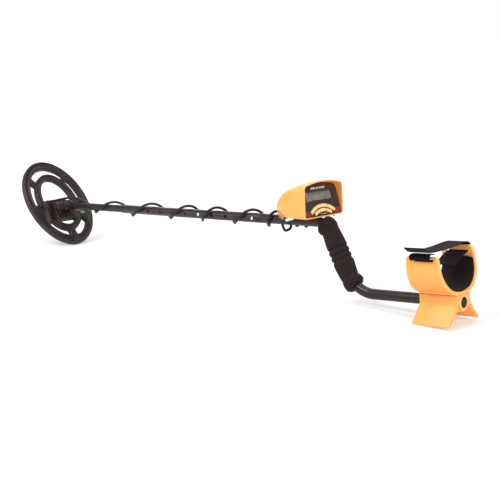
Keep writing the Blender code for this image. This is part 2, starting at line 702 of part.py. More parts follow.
stations = [BOX_REAR, 0.7640, 0.7480, 0.7330, 0.7210, 0.7100, 0.6950, 0.6865, 0.6805, 0.6783]
bm = bmesh.new()
rows = []
for s in stations:
    rows.append([bm.verts.new((s, y, w)) for y, w in box_section(s)])
for a, b in zip(rows[:-1], rows[1:]):
    n = len(a)
    for i in range(n):
        bm.faces.new((a[i], a[(i + 1) % n], b[(i + 1) % n], b[i]))
bm.faces.new(rows[-1])
shell = mesh_object("housing_shell", bm)
finish(shell, "yellow", STEM)
# faces look outward: the wall grows inward
me = shell.data
bmn = bmesh.new()
bmn.from_mesh(me)
bmesh.ops.recalc_face_normals(bmn, faces=bmn.faces)
ref = max(bmn.faces, key=lambda f: f.calc_center_median().z)
if ref.normal.z < 0:
    bmesh.ops.reverse_faces(bmn, faces=bmn.faces)
bmn.to_mesh(me)
bmn.free()
solidify(shell, BOX_WALL, -1.0)
boolean(shell, as_cutter(cylinder("stem_saddle", (0.66, 0, 0), (0.80, 0, 0), TOP_R + 0.0006, parent=STEM, n=24)))
PLUG_A = Vector((0.7250, -0.0180, 0.0140))
PLUG_DIR = Vector((-0.877, 0.0, -0.480)).normalized()
boolean(shell, as_cutter(cylinder("plug_recess", PLUG_A - PLUG_DIR * 0.0010, PLUG_A + PLUG_DIR * 0.045, 0.0092, parent=STEM, n=20)))
boolean(shell, as_cutter(box("battery_opening", (0.7288, 0.03, 0.0165), (0.7583, 0.07, 0.0460), parent=STEM)))
boolean(shell, as_cutter(cylinder("jack_hole", (0.7560, 0.040, 0.0556), (0.7560, 0.07, 0.0556), 0.0044, parent=STEM, n=16)))
boolean(shell, as_cutter(cylinders("screw_holes", [((0.7136, 0, -0.005), (0.7136, 0, 0.016), 0.0022),
                                                   ((0.7356, 0, -0.005), (0.7356, 0, 0.016), 0.0022)])))
bpy.data.objects["screw_holes"].parent = STEM

# mounting screws: up through the tube into a nut bar inside the box
for s, nm in ((0.7136, "mount_screw_front"), (0.7356, "mount_screw_rear")):
    z1 = 0.0146
    turned(nm, [(0.0, z1), (0.0017, z1), (0.0017, -TOP_R - 0.0001), (0.0036, -TOP_R - 0.0001), (0.0036, -0.0108),
                (0.0024, -0.0118), (0.0, -0.0118)], "steel", STEM, 14, loc=(s, 0, 0))
bar = box("mount_nut_bar", (0.7080, -0.0060, BOX_FLOOR + BOX_WALL + GAP), (0.7400, 0.0060, 0.0150), "steel", STEM)
boolean(bar, as_cutter(cylinders("bar_holes", [((0.7136, 0, 0.0), (0.7136, 0, 0.03), 0.0020), ((0.7356, 0, 0.0), (0.7356, 0, 0.03), 0.0020)])))
bpy.data.objects["bar_holes"].parent = STEM

# control panel, tilted back inside the hood
tan_t = math.tan(math.radians(PANEL_TILT))


def on_panel(inset):
    """Outline of the hood where the plane of the panel cuts it, in panel axes."""
    out = []
    n = len(box_section(BOX_REAR))
    for k in range(n):
        s = PANEL_S
        for _i in range(8):
            y, w = box_section(min(s, BOX_REAR), inset)[k]
            s = PANEL_S - (w - PANEL_W) * tan_t
        out.append((y, (w - PANEL_W) / math.cos(math.radians(PANEL_TILT))))
    return out


def arc_band(r0, r1, a0, a1, cy, n=6):
    """A curved key: band between two radii about (0, cy), angles from straight up."""
    pts = []
    for k in range(n + 1):
        a = math.radians(a0 + (a1 - a0) * k / n)
        pts.append((r1 * math.sin(a), cy + r1 * math.cos(a)))
    for k in range(n + 1):
        a = math.radians(a1 + (a0 - a1) * k / n)
        pts.append((r0 * math.sin(a), cy + r0 * math.cos(a)))
    return pts


KEY_CY = -0.0640
KEYS = {
    "key_upper_left": (0.0500, 0.0560, -38.5, -17.6),
    "key_upper_middle": (0.0500, 0.0560, -16.0, 16.0),
    "key_upper_right": (0.0500, 0.0560, 17.6, 38.5),
    "key_lower_left": (0.0418, 0.0478, -31.0, -11.9),
    "key_lower_middle": (0.0418, 0.0478, -10.0, 10.0),
    "key_lower_right": (0.0418, 0.0478, 11.9, 31.0),
}
LCD = (-0.0335, -0.0005, 0.0350, 0.0150)
panel_rings = [on_panel(BOX_WALL + 0.0008),
               [(LCD[0] - GAP, LCD[1] - GAP), (LCD[2] + GAP, LCD[1] - GAP), (LCD[2] + GAP, LCD[3] + GAP), (LCD[0] - GAP, LCD[3] + GAP)]]
for nm, (r0, r1, a0, a1) in KEYS.items():
    panel_rings.append(arc_band(r0 - 0.0004, r1 + 0.0004, a0 - 0.35, a1 + 0.35, KEY_CY, 5))
panel = outline("control_panel", panel_rings, -0.0024, 0.0)
finish(panel, "panel", PANEL)
win = box("display_window", (LCD[0], LCD[1], -0.0016), (LCD[2], LCD[3], 0.0002), "clear", PANEL)
box("lcd_module", (-0.0360, -0.0030, -0.0052), (0.0375, 0.0175, -0.0027), "lcd", PANEL, 0.0)
for nm, (r0, r1, a0, a1) in KEYS.items():
    k = outline(nm, [arc_band(r0, r1, a0, a1, KEY_CY, 5)], -0.0034, 0.0013)
    finish(k, "key", PANEL)
box("circuit_board", (-0.0406, -0.0225, -0.0072), (0.0406, 0.0215, -0.0056), "board", PANEL, 0.0)

# speaker, batteries and their holder
turned("speaker", [(0.0, 0.0056), (0.0050, 0.0056), (0.0055, 0.0040), (0.0140, 0.0012), (0.0155, 0.0012), (0.0155, 0.0), (0.0, 0.0)],
       "black_plastic", STEM, 24, loc=(0.7290, 0.0, 0.0476))
CELL_R = 0.0071
n_b = 0
for w_c in (0.0240, 0.0385):
    for s_c in (0.7363, 0.7508):
        n_b += 1
        turned("battery_%d" % n_b, [(0.0, 0.0252), (0.0026, 0.0252), (0.0026, 0.0242), (CELL_R - 0.0004, 0.0242), (CELL_R, 0.0236),
                                    (CELL_R, -0.0250), (0.0, -0.0250)], "cell", STEM, 16,
               axis='Y' if (n_b % 2) else '-Y', loc=(s_c, 0, w_c))
holder = box("battery_holder", (0.7277, -0.0275, 0.0154), (0.7594, 0.0268, 0.0471), "black_plastic", STEM)
boolean(holder, as_cutter(box("holder_cavity", (0.7289, -0.0258, 0.0166), (0.7582, 0.0300, 0.0459), parent=STEM)))

# battery door on the right hand side, slides rearward along the wall
half_a = box_dims(0.7280)[0]
half_b = box_dims(0.7590)[0]
DOOR_ANG = math.atan2(half_b - half_a, 0.0310)
DOOR_Y = box_dims(0.7436)[0] + 0.0005
door_ax = empty("door_axis", (0.7436, DOOR_Y, 0.03125), 0.0, STEM)
door_ax.rotation_euler = (0.0, 0.0, DOOR_ANG)
door = box("battery_door", (-0.0172, 0.0, -0.0172), (0.0172, 0.0020, 0.0172), "yellow", door_ax)
bevel(door, 0.0006, 1)

# headphone jack and coil socket
jack = turned("headphone_jack", [(0.0062, 0.0014), (0.0062, 0.0), (0.0040, 0.0), (0.0040, -0.0120), (0.0033, -0.0120), (0.0033, 0.0014)],
              "steel", STEM, 16, axis='Y', loc=(0.7560, box_dims(0.7560)[0] + 0.0008, 0.0556), closed=True)
rot = Vector((0, 0, 1)).rotation_difference(PLUG_DIR)
sock = turned("coil_socket", [(0.0, 0.0040), (0.0042, 0.0040), (0.0042, 0.0012), (0.0089, 0.0012), (0.0089, -0.0012), (0.0, -0.0012)],
              "black_plastic", STEM, 18, loc=PLUG_A + PLUG_DIR * 0.0002)
sock.rotation_mode = 'QUATERNION'
sock.rotation_quaternion = rot
ring = turned("plug_lock_ring", [(0.0060, 0.0120), (0.0066, 0.0110), (0.0066, 0.0030), (0.0060, 0.0022), (0.0050, 0.0022), (0.0050, 0.0120)],
              "steel", STEM, 20, loc=PLUG_A, closed=True)
ring.rotation_mode = 'QUATERNION'
ring.rotation_quaternion = rot
plug = turned("cable_plug", [(0.0, 0.0245), (0.0032, 0.0245), (0.0044, 0.0160), (0.0055, 0.0150), (0.0055, 0.0124), (0.0046, 0.0124), (0.0046, 0.0046), (0.0, 0.0046)],
              "steel", STEM, 18, loc=PLUG_A)
plug.rotation_mode = 'QUATERNION'
plug.rotation_quaternion = rot

# ----------------------------------------------------------------------------
# coil cable: out of the gland, seven loose turns round the stem, into the plug
# ----------------------------------------------------------------------------
TURN_BOTTOM = (0.1137, 0.2441, 0.3672, 0.4636, 0.5531, 0.6450)
TURN_TOP = (0.1814, 0.3085, 0.4231, 0.5049, 0.6031, 0.6647)


def cable_route():
    tip = Vector((GLAND[0], GLAND[1], Z_TOP + 0.0068)) + GLAND_DIR * (0.0125 + GAP)
    p0 = coil_point(*tip)
    d = GLAND_DIR
    p1 = coil_point(*(tip + d * 0.008))
    pts = [p0, p1]
    pts.append(Vector((0.0330, -0.0095, 0.1048)))
    pts.append(Vector((0.0470, -0.0030, 0.1078)))
    pts.append(Vector((0.0640, 0.0045, 0.1085)))
    keys = [(0.0655 + 0.0200, 180.0)]
    keys.append((0.1000, 225.0))
    for sb, st in zip(TURN_BOTTOM, TURN_TOP):
        k = TURN_BOTTOM.index(sb)
        keys.append((sb, 270.0 + 360.0 * k))
        keys.append((st, 450.0 + 360.0 * k))
    # interpolate the turns at every 45 degrees
    for (s0, a0), (s1, a1) in zip(keys[:-1], keys[1:]):
        n = max(1, int(round((a1 - a0) / 36.0)))
        for j in range(n):
            f = j / n
            s = s0 + (s1 - s0) * f
            a = math.radians(a0 + (a1 - a0) * f)
            r = (LOW_R if s < MID_S0 - 0.012 else MID_R) + CABLE_R + 0.0011
            r += 0.0023 * max(0.0, math.sin(a))
            pts.append(stem_point(s, -r * math.cos(a), r * math.sin(a)))
    r = MID_R + CABLE_R + 0.0030
    pts.append(stem_point(0.6647, 0.0, r))
    pts.append(stem_point(0.6730, 0.0128, 0.0085))
    pts.append(stem_point(0.6830, 0.0150, -0.0040))
    pts.append(stem_point(0.6900, 0.0090, -0.0155))
    pts.append(stem_point(0.6895, -0.0060, -0.0190))
    tail = PLUG_A + PLUG_DIR * (0.0245 + GAP)
    pts.append(stem_point(*(tail + PLUG_DIR * 0.0105)))
    pts.append(stem_point(*(tail + PLUG_DIR * 0.0050)))
    pts.append(stem_point(*tail))
    return pts


route, CABLE_LEN = spline(cable_route(), 76)
cu = bpy.data.curves.new("coil_cable", 'CURVE')
cu.dimensions = '3D'
cu.bevel_depth = CABLE_R
cu.bevel_resolution = 2
cu.use_fill_caps = True
sp = cu.splines.new('POLY')
sp.points.add(len(route) - 1)
for p, q in zip(sp.points, route):
    p.co = (q.x, q.y, q.z, 1.0)
cable = link(bpy.data.objects.new("coil_cable", cu))
finish(cable, "rubber", ROOT)


# ----------------------------------------------------------------------------
# arm cuff, stand, liner, strap (rear frame: u along the tube, w above it)
# ----------------------------------------------------------------------------
def cuff_profile(off, n=20, top=None):
    """Open U: from the top of the left wall round the bottom to the right wall."""
    a, b = CUFF_HALF_W - off, CUFF_MID - CUFF_BOTTOM - off
    pts = [(-a + 0.0010, top or CUFF_TOP_LEFT)]
    for i in range(n + 1):
        t = math.pi + math.pi * i / n
        c, q = math.cos(t), -math.sin(t)
        pts.append((a * math.copysign(abs(c) ** (2 / CUFF_POWER), c), CUFF_MID - b * max(q, 0.0) ** (2 / CUFF_POWER)))
    pts.append((a - 0.0010, top or CUFF_TOP_RIGHT))
    return pts


def u_band(name, outer, inner, u0, u1, look):
    """Extrude the band between an outer and an inner open outline along u."""
    ob = outline(name, [outer + inner[::-1]], u0, u1)
    # outline lies in x-y: x -> y, y -> w, z -> u
    m = Matrix(((0, 0, 1, 0), (1, 0, 0, 0), (0, 1, 0, 0), (0, 0, 0, 1)))
    ob.data.transform(m)
    bmx = bmesh.new()
    bmx.from_mesh(ob.data)
    bmesh.ops.recalc_face_normals(bmx, faces=bmx.faces)
    bmx.to_mesh(ob.data)
    bmx.free()
    if look:
        finish(ob, look, REAR)
    else:
        ob.parent = REAR
    return ob


cuff = u_band("cuff_cradle", cuff_profile(0.0), cuff_profile(CUFF_WALL), CUFF_U0, CUFF_U1, "yellow")
boolean(cuff, as_cutter(box("cuff_base", (CUFF_U0 + 0.0001, -0.0215, CUFF_BOTTOM), (CUFF_U1 - 0.0001, 0.0215, CUFF_BOTTOM + 0.0075), parent=REAR)), 'UNION')
inner_cut = u_band("cuff_inner_cut", cuff_profile(CUFF_WALL, 20, 0.10), [(-0.0400, 0.12), (0.0400, 0.12)], CUFF_U0 - 0.01, CUFF_U1 + 0.01, None)
boolean(cuff, as_cutter(inner_cut))
rake = box("cuff_rake", (0.0, -0.08, 0.0), (0.03, 0.08, 0.12), parent=REAR)
rake.rotation_euler = (0.0, math.radians(-9.0), 0.0)
rake.location = (0.0965, 0.0, 0.0135)
boolean(cuff, as_cutter(rake))
SLOT_W, SLOT_U = 0.0745, 0.0560
for sgn, nm in ((-1, "slot_left"), (1, "slot_right")):
    lo, hi = sorted((sgn * 0.045, sgn * 0.062))
    boolean(cuff, as_cutter(box(nm, (SLOT_U - 0.0210, lo, SLOT_W - 0.0024), (SLOT_U + 0.0210, hi, SLOT_W + 0.0024), parent=REAR)))
boolean(cuff, as_cutter(cylinder("cuff_bolt_hole", (0.060, 0, 0.0), (0.060, 0, 0.03), 0.0026, parent=REAR, n=12)))

# foam liner inside the cuff
liner = u_band("cuff_liner", cuff_profile(CUFF_WALL + GAP, 18, 0.0700)[1:-1], cuff_profile(CUFF_WALL + GAP + LINER_T, 18, 0.0700)[1:-1],
               CUFF_U0 + 0.002, CUFF_U1 - 0.0035, "foam")
rake2 = box("liner_rake", (0.0, -0.08, 0.0), (0.03, 0.08, 0.12), parent=REAR)
rake2.rotation_euler = (0.0, math.radians(-9.0), 0.0)
rake2.location = (0.0940, 0.0, 0.0135)
boolean(liner, as_cutter(rake2))
boolean(liner, as_cutter(cylinder("bolt_head_recess", (0.060, 0, 0.010), (0.060, 0, 0.035), 0.0052, parent=REAR, n=14)))

# stand: saddle over the tube with two splayed legs
prof = [(0.0215, CUFF_BOTTOM - GAP), (0.0215, -0.0020), (FOOT_Y, FOOT_W), (FOOT_Y - 0.0052, FOOT_W)]
prof += [(0.0132, -0.0020 - 0.0036)]
for a in (-42, -62, -80):
    prof.append((0.0128 * math.cos(math.radians(a)), 0.0128 * math.sin(math.radians(a))))
full = prof + [(-y, w) for y, w in prof[::-1]]
hole = [((TOP_R + GAP) * math.cos(2 * math.pi * i / 24), (TOP_R + GAP) * math.sin(2 * math.pi * i / 24)) for i in range(24)]
stand = outline("cuff_stand", [full, hole], CUFF_U0 + 0.0003, CUFF_U1 - 0.0005)
stand.data.transform(Matrix(((0, 0, 1, 0), (1, 0, 0, 0), (0, 1, 0, 0), (0, 0, 0, 1))))
bmx = bmesh.new()
bmx.from_mesh(stand.data)
bmesh.ops.recalc_face_normals(bmx, faces=bmx.faces)
bmx.to_mesh(stand.data)
bmx.free()
finish(stand, "yellow", REAR)
boolean(stand, as_cutter(cylinder("stand_bolt_hole", (0.060, 0, -0.03), (0.060, 0, 0.03), 0.0026, parent=REAR, n=12)))
turned("cuff_bolt", [(0.0, 0.0200), (0.0040, 0.0200), (0.0046, 0.0188), (0.0046, CUFF_BOTTOM + 0.0043 + GAP), (0.0022, CUFF_BOTTOM + 0.0043 + GAP), (0.0022, -0.0190), (0.0, -0.0190)],
       "steel", REAR, 16, loc=(0.060, 0, 0))
nut = cylinder("cuff_nut", (0.060, 0, -0.0172), (0.060, 0, -0.0132), 0.0050, "steel", REAR, 6)
boolean(nut, as_cutter(cylinder("nut_bore", (0.060, 0, -0.03), (0.060, 0, 0.0), 0.0025, parent=REAR, n=12)))


def band_path(pts, t):
    """Offset an open outline to both sides by half of t."""
    out, inn = [], []
    P = [Vector((p[0], p[1])) for p in pts]
    for i, p in enumerate(P):
        a = P[max(0, i - 1)]
        b = P[min(len(P) - 1, i + 1)]
        d = (b - a).normalized()
        nrm = Vector((-d.y, d.x)) * (t / 2)
        out.append((p.x + nrm.x, p.y + nrm.y))
        inn.append((p.x - nrm.x, p.y - nrm.y))
    return out, inn


def smooth2(pts, n):
    q, _ = spline([(p[0], 0.0, p[1]) for p in pts], n)
    return [(v.x, v.z) for v in q]


strap_line = smooth2([(-0.0775, 0.0975), (-0.0640, 0.0895), (-0.0480, 0.0875), (-0.0250, 0.0872), (0.0050, 0.0880), (0.0320, 0.0897),
                      (0.0500, 0.0902), (0.0590, 0.0888), (0.0628, 0.0835), (0.0620, 0.0785), (0.0560, 0.0745), (0.0450, 0.0725),
                      (0.0320, 0.0675), (0.0180, 0.0610), (0.0080, 0.0580)], 34)
so, si = band_path(strap_line, STRAP_T)
u_band("arm_strap", so, si, SLOT_U - STRAP_W / 2, SLOT_U + STRAP_W / 2, "webbing")
keep_line = smooth2([(-0.0465, 0.0700), (-0.0485, 0.0745), (-0.0550, 0.0745), (-0.0610, 0.0755), (-0.0627, 0.0800), (-0.0598, 0.0836), (-0.0530, 0.0843), (-0.0450, 0.0836)], 18)
ko, ki = band_path(keep_line, 0.0016)
u_band("strap_anchor", ko, ki, SLOT_U - STRAP_W / 2, SLOT_U + STRAP_W / 2, "webbing")
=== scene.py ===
"""Metal detector: finished pieces, materials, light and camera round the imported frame."""
import bpy
import bmesh
import math
from mathutils import Vector, Matrix
from mathutils.geometry import tessellate_polygon

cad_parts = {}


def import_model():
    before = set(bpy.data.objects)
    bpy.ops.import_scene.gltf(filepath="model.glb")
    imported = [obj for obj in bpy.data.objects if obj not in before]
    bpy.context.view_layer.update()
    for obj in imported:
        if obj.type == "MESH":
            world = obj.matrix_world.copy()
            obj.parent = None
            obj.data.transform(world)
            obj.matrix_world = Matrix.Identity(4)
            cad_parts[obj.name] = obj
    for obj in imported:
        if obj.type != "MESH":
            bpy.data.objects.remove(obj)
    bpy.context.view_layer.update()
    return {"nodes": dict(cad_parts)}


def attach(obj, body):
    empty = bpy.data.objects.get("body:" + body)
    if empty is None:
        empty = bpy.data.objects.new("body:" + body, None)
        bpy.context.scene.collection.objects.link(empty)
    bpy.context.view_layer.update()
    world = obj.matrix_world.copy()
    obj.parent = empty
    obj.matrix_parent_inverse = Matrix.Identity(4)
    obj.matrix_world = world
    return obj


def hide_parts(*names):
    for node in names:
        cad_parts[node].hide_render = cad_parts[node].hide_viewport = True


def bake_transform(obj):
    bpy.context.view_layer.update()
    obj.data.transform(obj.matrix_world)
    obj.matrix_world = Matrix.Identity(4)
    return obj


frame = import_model()
NODES = frame["nodes"]
rad = math.radians

# ---------------------------------------------------------------------------
# the part's own dimensions and frames, in metres and degrees
# ---------------------------------------------------------------------------
OX = 0.5113
PIVOT = (0.03125, 0.0, 0.0890)
STEM_PITCH, COIL_PITCH, REAR_PITCH, PANEL_TILT = 3.5, 50.6, 5.28, 16.0
COIL_A, COIL_B, COIL_CX, COIL_CZ, COIL_T = 0.1145, 0.0825, -0.0219, -0.0225, 0.014
RING_OUT = ((0.0935, 0.0650), (0.0785, 0.0540))
INNER_WIN = (0.0620, 0.0390)
HUB_FRONT, HUB_REAR = 0.002, -0.050
Z_TOP = COIL_CZ + COIL_T / 2
Z_SPLIT = Z_TOP - 0.0095
Z_BOT = COIL_CZ - COIL_T / 2
EAR_IN, EAR_OUT, EAR_R, BOLT_R = 0.0136, 0.0186, 0.0092, 0.0028
LOW_R, LOW_IN, MID_R, MID_IN, TOP_R = 0.0080, 0.0065, 0.00925, 0.0083, 0.00925
LOW_S0, LOW_S1, MID_S0, MID_S1, SPIGOT_S0 = 0.0240, 0.4900, 0.2124, 0.6300, 0.5860
HOLE_PITCH, HOLE_FIRST, N_HOLES = 0.0384, 0.3068, 7
LOW_BUTTON, UP_BUTTON, BUTTON_R = HOLE_FIRST + 4 * HOLE_PITCH, 0.6087, 0.0030
BEND_1, BEND_2, BEND_1_R, BEND_2_R = (0.8139, 0.1369), (0.8817, 0.0195), 0.035, 0.060
TUBE_END_X = 1.0935
BOX_REAR, BOX_NOSE, BOX_HALF_W, BOX_TOP, BOX_FLOOR, BOX_WALL = 0.7789, 0.6775, 0.0544, 0.0757, 0.0100, 0.0024
PANEL_S, PANEL_W = 0.7700, 0.0410
CUFF_U0, CUFF_U1 = 0.0255, 0.0960
CUFF_HALF_W, CUFF_BOTTOM, CUFF_MID, CUFF_WALL = 0.0560, 0.0138, 0.0650, 0.0038
CUFF_TOP_LEFT, CUFF_TOP_RIGHT, CUFF_POWER = 0.0810, 0.0855, 2.3
LINER_T = 0.0030
FOOT_Y, FOOT_W = 0.0480, -0.0331
SLOT_W, SLOT_U, STRAP_W, STRAP_T = 0.0745, 0.0560, 0.0380, 0.0020
CABLE_R = 0.0026
KEY_CY = -0.0640


def world(x, y, z):
    return Vector((x - OX, y, z))


def turned_about_y(origin, deg, x, y, z):
    a = rad(deg)
    return Vector((origin[0] + x * math.cos(a) + z * math.sin(a) - OX, y,
                   origin[2] - x * math.sin(a) + z * math.cos(a)))


def stem(s, y, w):
    return turned_about_y(PIVOT, -STEM_PITCH, s, y, w)


def coil(x, y, z):
    return turned_about_y(PIVOT, COIL_PITCH, x, y, z)


def rear(u, y, w):
    return turned_about_y((1.0, 0.0, 0.0304), -REAR_PITCH, u, y, w)


def panel(x, y, z):
    t = rad(PANEL_TILT)
    return stem(PANEL_S - y * math.sin(t) + z * math.cos(t), x, PANEL_W + y * math.cos(t) + z * math.sin(t))


def along(fn, v):
    """Direction v of a local frame, in the row frame."""
    return (fn(*v) - fn(0, 0, 0)).normalized()


# ---------------------------------------------------------------------------
# camera first
# ---------------------------------------------------------------------------
scene = bpy.context.scene
cam_data = bpy.data.cameras.new("camera")
cam_data.lens = 67.39
cam_data.sensor_width = 36.0
cam_data.clip_end = 200.0
camera = bpy.data.objects.new("camera", cam_data)
camera.location = world(1.8398, -1.2968, 0.4125)
camera.rotation_euler = (rad(78.82), 0.0, rad(43.12))
scene.collection.objects.link(camera)
scene.camera = camera


# ---------------------------------------------------------------------------
# materials
# ---------------------------------------------------------------------------
def look(name, base, rough, metal=0.0, vary=0.10, vary_scale=38.0, rough_vary=0.06, grain=(), spec=None,
         coat=None, sheen=None, tint=None, edge_highlight=0.0, edge_highlight_color=None):
    """A procedural surface: cloudy colour and gloss, fine grain as bump, sharp edges lightened as a painted highlight.
    """
    m = bpy.data.materials.new(name)
    m.use_nodes = True
    nt = m.node_tree
    b = nt.nodes["Principled BSDF"]
    b.inputs["Metallic"].default_value = metal
    if spec is not None:
        b.inputs["Specular IOR Level"].default_value = spec
    if coat:
        b.inputs["Coat Weight"].default_value = coat[0]
        b.inputs["Coat Roughness"].default_value = coat[1]
    if sheen:
        b.inputs["Sheen Weight"].default_value = sheen[0]
        b.inputs["Sheen Roughness"].default_value = sheen[1]
        b.inputs["Sheen Tint"].default_value = (*sheen[2], 1.0)
    tc = nt.nodes.new("ShaderNodeTexCoord")
    n1 = nt.nodes.new("ShaderNodeTexNoise")
    n1.inputs["Scale"].default_value = vary_scale
    n1.inputs["Detail"].default_value = 5.0
    n1.inputs["Roughness"].default_value = 0.6
    nt.links.new(tc.outputs["Object"], n1.inputs["Vector"])
    ramp = nt.nodes.new("ShaderNodeValToRGB")
    lo = [max(0.0, c * (1 - vary)) for c in base]
    hi = [min(1.0, c * (1 + vary)) for c in (tint or base)]
    ramp.color_ramp.elements[0].position = 0.32
    ramp.color_ramp.elements[0].color = (*lo, 1.0)
    ramp.color_ramp.elements[1].position = 0.70
    ramp.color_ramp.elements[1].color = (*hi, 1.0)
    nt.links.new(n1.outputs["Fac"], ramp.inputs["Fac"])
    colour = ramp.outputs["Color"]
    # painted highlight: sharp edges (high pointiness) are mixed towards a paler colour
    if edge_highlight:
        geo = nt.nodes.new("ShaderNodeNewGeometry")
        mr = nt.nodes.new("ShaderNodeMapRange")
        mr.inputs["From Min"].default_value = 0.52
        mr.inputs["From Max"].default_value = 0.60
        mr.inputs["To Min"].default_value = 0.0
        mr.inputs["To Max"].default_value = edge_highlight
        nt.links.new(geo.outputs["Pointiness"], mr.inputs["Value"])
        mix = nt.nodes.new("ShaderNodeMix")
        mix.data_type = 'RGBA'
        mix.inputs["B"].default_value = (*(edge_highlight_color or hi), 1.0)
        nt.links.new(mr.outputs["Result"], mix.inputs["Factor"])
        nt.links.new(colour, mix.inputs["A"])
        colour = mix.outputs["Result"]
    nt.links.new(colour, b.inputs["Base Color"])
    n2 = nt.nodes.new("ShaderNodeTexNoise")
    n2.inputs["Scale"].default_value = vary_scale * 2.7
    n2.inputs["Detail"].default_value = 4.0
    nt.links.new(tc.outputs["Object"], n2.inputs["Vector"])
    mr2 = nt.nodes.new("ShaderNodeMapRange")
    mr2.inputs["From Min"].default_value = 0.3
    mr2.inputs["From Max"].default_value = 0.7
    mr2.inputs["To Min"].default_value = max(0.02, rough - rough_vary)
    mr2.inputs["To Max"].default_value = min(1.0, rough + rough_vary)
    nt.links.new(n2.outputs["Fac"], mr2.inputs["Value"])
    nt.links.new(mr2.outputs["Result"], b.inputs["Roughness"])
    normal = None
    for kind, scale, strength, dist in grain:
        if kind == "cells":
            tex = nt.nodes.new("ShaderNodeTexVoronoi")
            tex.inputs["Scale"].default_value = scale
            out = tex.outputs["Distance"]
        else:
            tex = nt.nodes.new("ShaderNodeTexNoise")
            tex.inputs["Scale"].default_value = scale
            tex.inputs["Detail"].default_value = 3.0
            out = tex.outputs["Fac"]
        nt.links.new(tc.outputs["Object"], tex.inputs["Vector"])
        bump = nt.nodes.new("ShaderNodeBump")
        bump.inputs["Strength"].default_value = strength
        bump.inputs["Distance"].default_value = dist
        nt.links.new(out, bump.inputs["Height"])
        if normal is not None:
            nt.links.new(normal, bump.inputs["Normal"])
        normal = bump.outputs["Normal"]
    if normal is not None:
        nt.links.new(normal, b.inputs["Normal"])
    return m


def woven(name, base, across, thread=0.0011, rough=0.85, fuzzy=0.0, rot=0.0):
    """Webbing: threads over and under in two directions, taken from the strap's own map (u along, v across)."""
    m = bpy.data.materials.new(name)
    m.use_nodes = True
    nt = m.node_tree
    b = nt.nodes["Principled BSDF"]
    b.inputs["Roughness"].default_value = rough
    b.inputs["Sheen Weight"].default_value = 0.05
    b.inputs["Sheen Roughness"].default_value = 0.5
    b.inputs["Specular IOR Level"].default_value = 0.12
    b.inputs["Sheen Tint"].default_value = (0.9, 0.8, 0.85, 1.0)
    uv = nt.nodes.new("ShaderNodeUVMap")
    uv.uv_map = "strap"
    sep = nt.nodes.new("ShaderNodeSeparateXYZ")
    nt.links.new(uv.outputs["UV"], sep.inputs["Vector"])

    def sine(out, wave):
        mul = nt.nodes.new("ShaderNodeMath")
        mul.operation = 'MULTIPLY'
        mul.inputs[1].default_value = 2 * math.pi / wave
        nt.links.new(out, mul.inputs[0])
        s = nt.nodes.new("ShaderNodeMath")
        s.operation = 'SINE'
        nt.links.new(mul.outputs[0], s.inputs[0])
        return s.outputs[0]

    a = sine(sep.outputs["X"], thread * 2)
    c = sine(sep.outputs["Y"], thread * 1.5)
    prod = nt.nodes.new("ShaderNodeMath")
    prod.operation = 'MULTIPLY'
    nt.links.new(a, prod.inputs[0])
    nt.links.new(c, prod.inputs[1])
    noise = nt.nodes.new("ShaderNodeTexNoise")
    noise.inputs["Scale"].default_value = 900.0
    noise.inputs["Detail"].default_value = 4.0
    tc = nt.nodes.new("ShaderNodeTexCoord")
    nt.links.new(tc.outputs["Object"], noise.inputs["Vector"])
    add = nt.nodes.new("ShaderNodeMath")
    add.operation = 'MULTIPLY_ADD'
    add.inputs[1].default_value = 0.6 + fuzzy * 3
    nt.links.new(noise.outputs["Fac"], add.inputs[0])
    nt.links.new(prod.outputs[0], add.inputs[2])
    bump = nt.nodes.new("ShaderNodeBump")
    bump.inputs["Strength"].default_value = 0.55
    bump.inputs["Distance"].default_value = 0.0004
    nt.links.new(add.outputs[0], bump.inputs["Height"])
    nt.links.new(bump.outputs["Normal"], b.inputs["Normal"])
    ramp = nt.nodes.new("ShaderNodeValToRGB")
    ramp.color_ramp.elements[0].position = 0.0
    ramp.color_ramp.elements[0].color = (*[x * 0.55 for x in base], 1.0)
    ramp.color_ramp.elements[1].position = 1.0
    ramp.color_ramp.elements[1].color = (*[x * 1.6 for x in base], 1.0)
    mr = nt.nodes.new("ShaderNodeMapRange")
    mr.inputs["From Min"].default_value = -1.0
    mr.inputs["From Max"].default_value = 2.0
    nt.links.new(add.outputs[0], mr.inputs["Value"])
    nt.links.new(mr.outputs["Result"], ramp.inputs["Fac"])
    nt.links.new(ramp.outputs["Color"], b.inputs["Base Color"])
    return m


# the edge settings on these materials paint a pale highlight along sharp edges
YELLOW = look("yellow_abs", (0.93, 0.372, 0.070), 0.46, vary=0.030, vary_scale=14.0, tint=(0.95, 0.392, 0.084), spec=0.50,
              grain=(("noise", 1500.0, 0.10, 0.0002), ("noise", 90.0, 0.03, 0.0004)), edge_highlight=0.8, edge_highlight_color=(0.98, 0.66, 0.32))
BLACK = look("black_abs", (0.0150, 0.0085, 0.0090), 0.36, vary=0.22, vary_scale=46.0, tint=(0.0200, 0.0115, 0.0120), spec=0.28,
             grain=(("noise", 1300.0, 0.16, 0.0002), ("noise", 160.0, 0.05, 0.0003)), edge_highlight=0.5, edge_highlight_color=(0.120, 0.088, 0.086))
TUBE = look("powder_coated_tube", (0.0165, 0.0095, 0.0095), 0.30, vary=0.18, vary_scale=60.0, tint=(0.0200, 0.0120, 0.0120), rough_vary=0.05, spec=0.30,
            grain=(("noise", 700.0, 0.10, 0.0002),), edge_highlight=0.25, edge_highlight_color=(0.07, 0.06, 0.06))
CABLE = look("cable_jacket", (0.0140, 0.0100, 0.0105), 0.42, vary=0.15, vary_scale=120.0, spec=0.26,
             grain=(("noise", 900.0, 0.08, 0.0002),))
RUBBER = look("moulded_rubber", (0.0165, 0.0125, 0.0125), 0.62, vary=0.2, vary_scale=90.0, spec=0.25,
              grain=(("noise", 1100.0, 0.18, 0.0002),), edge_highlight=0.3, edge_highlight_color=(0.05, 0.045, 0.045))
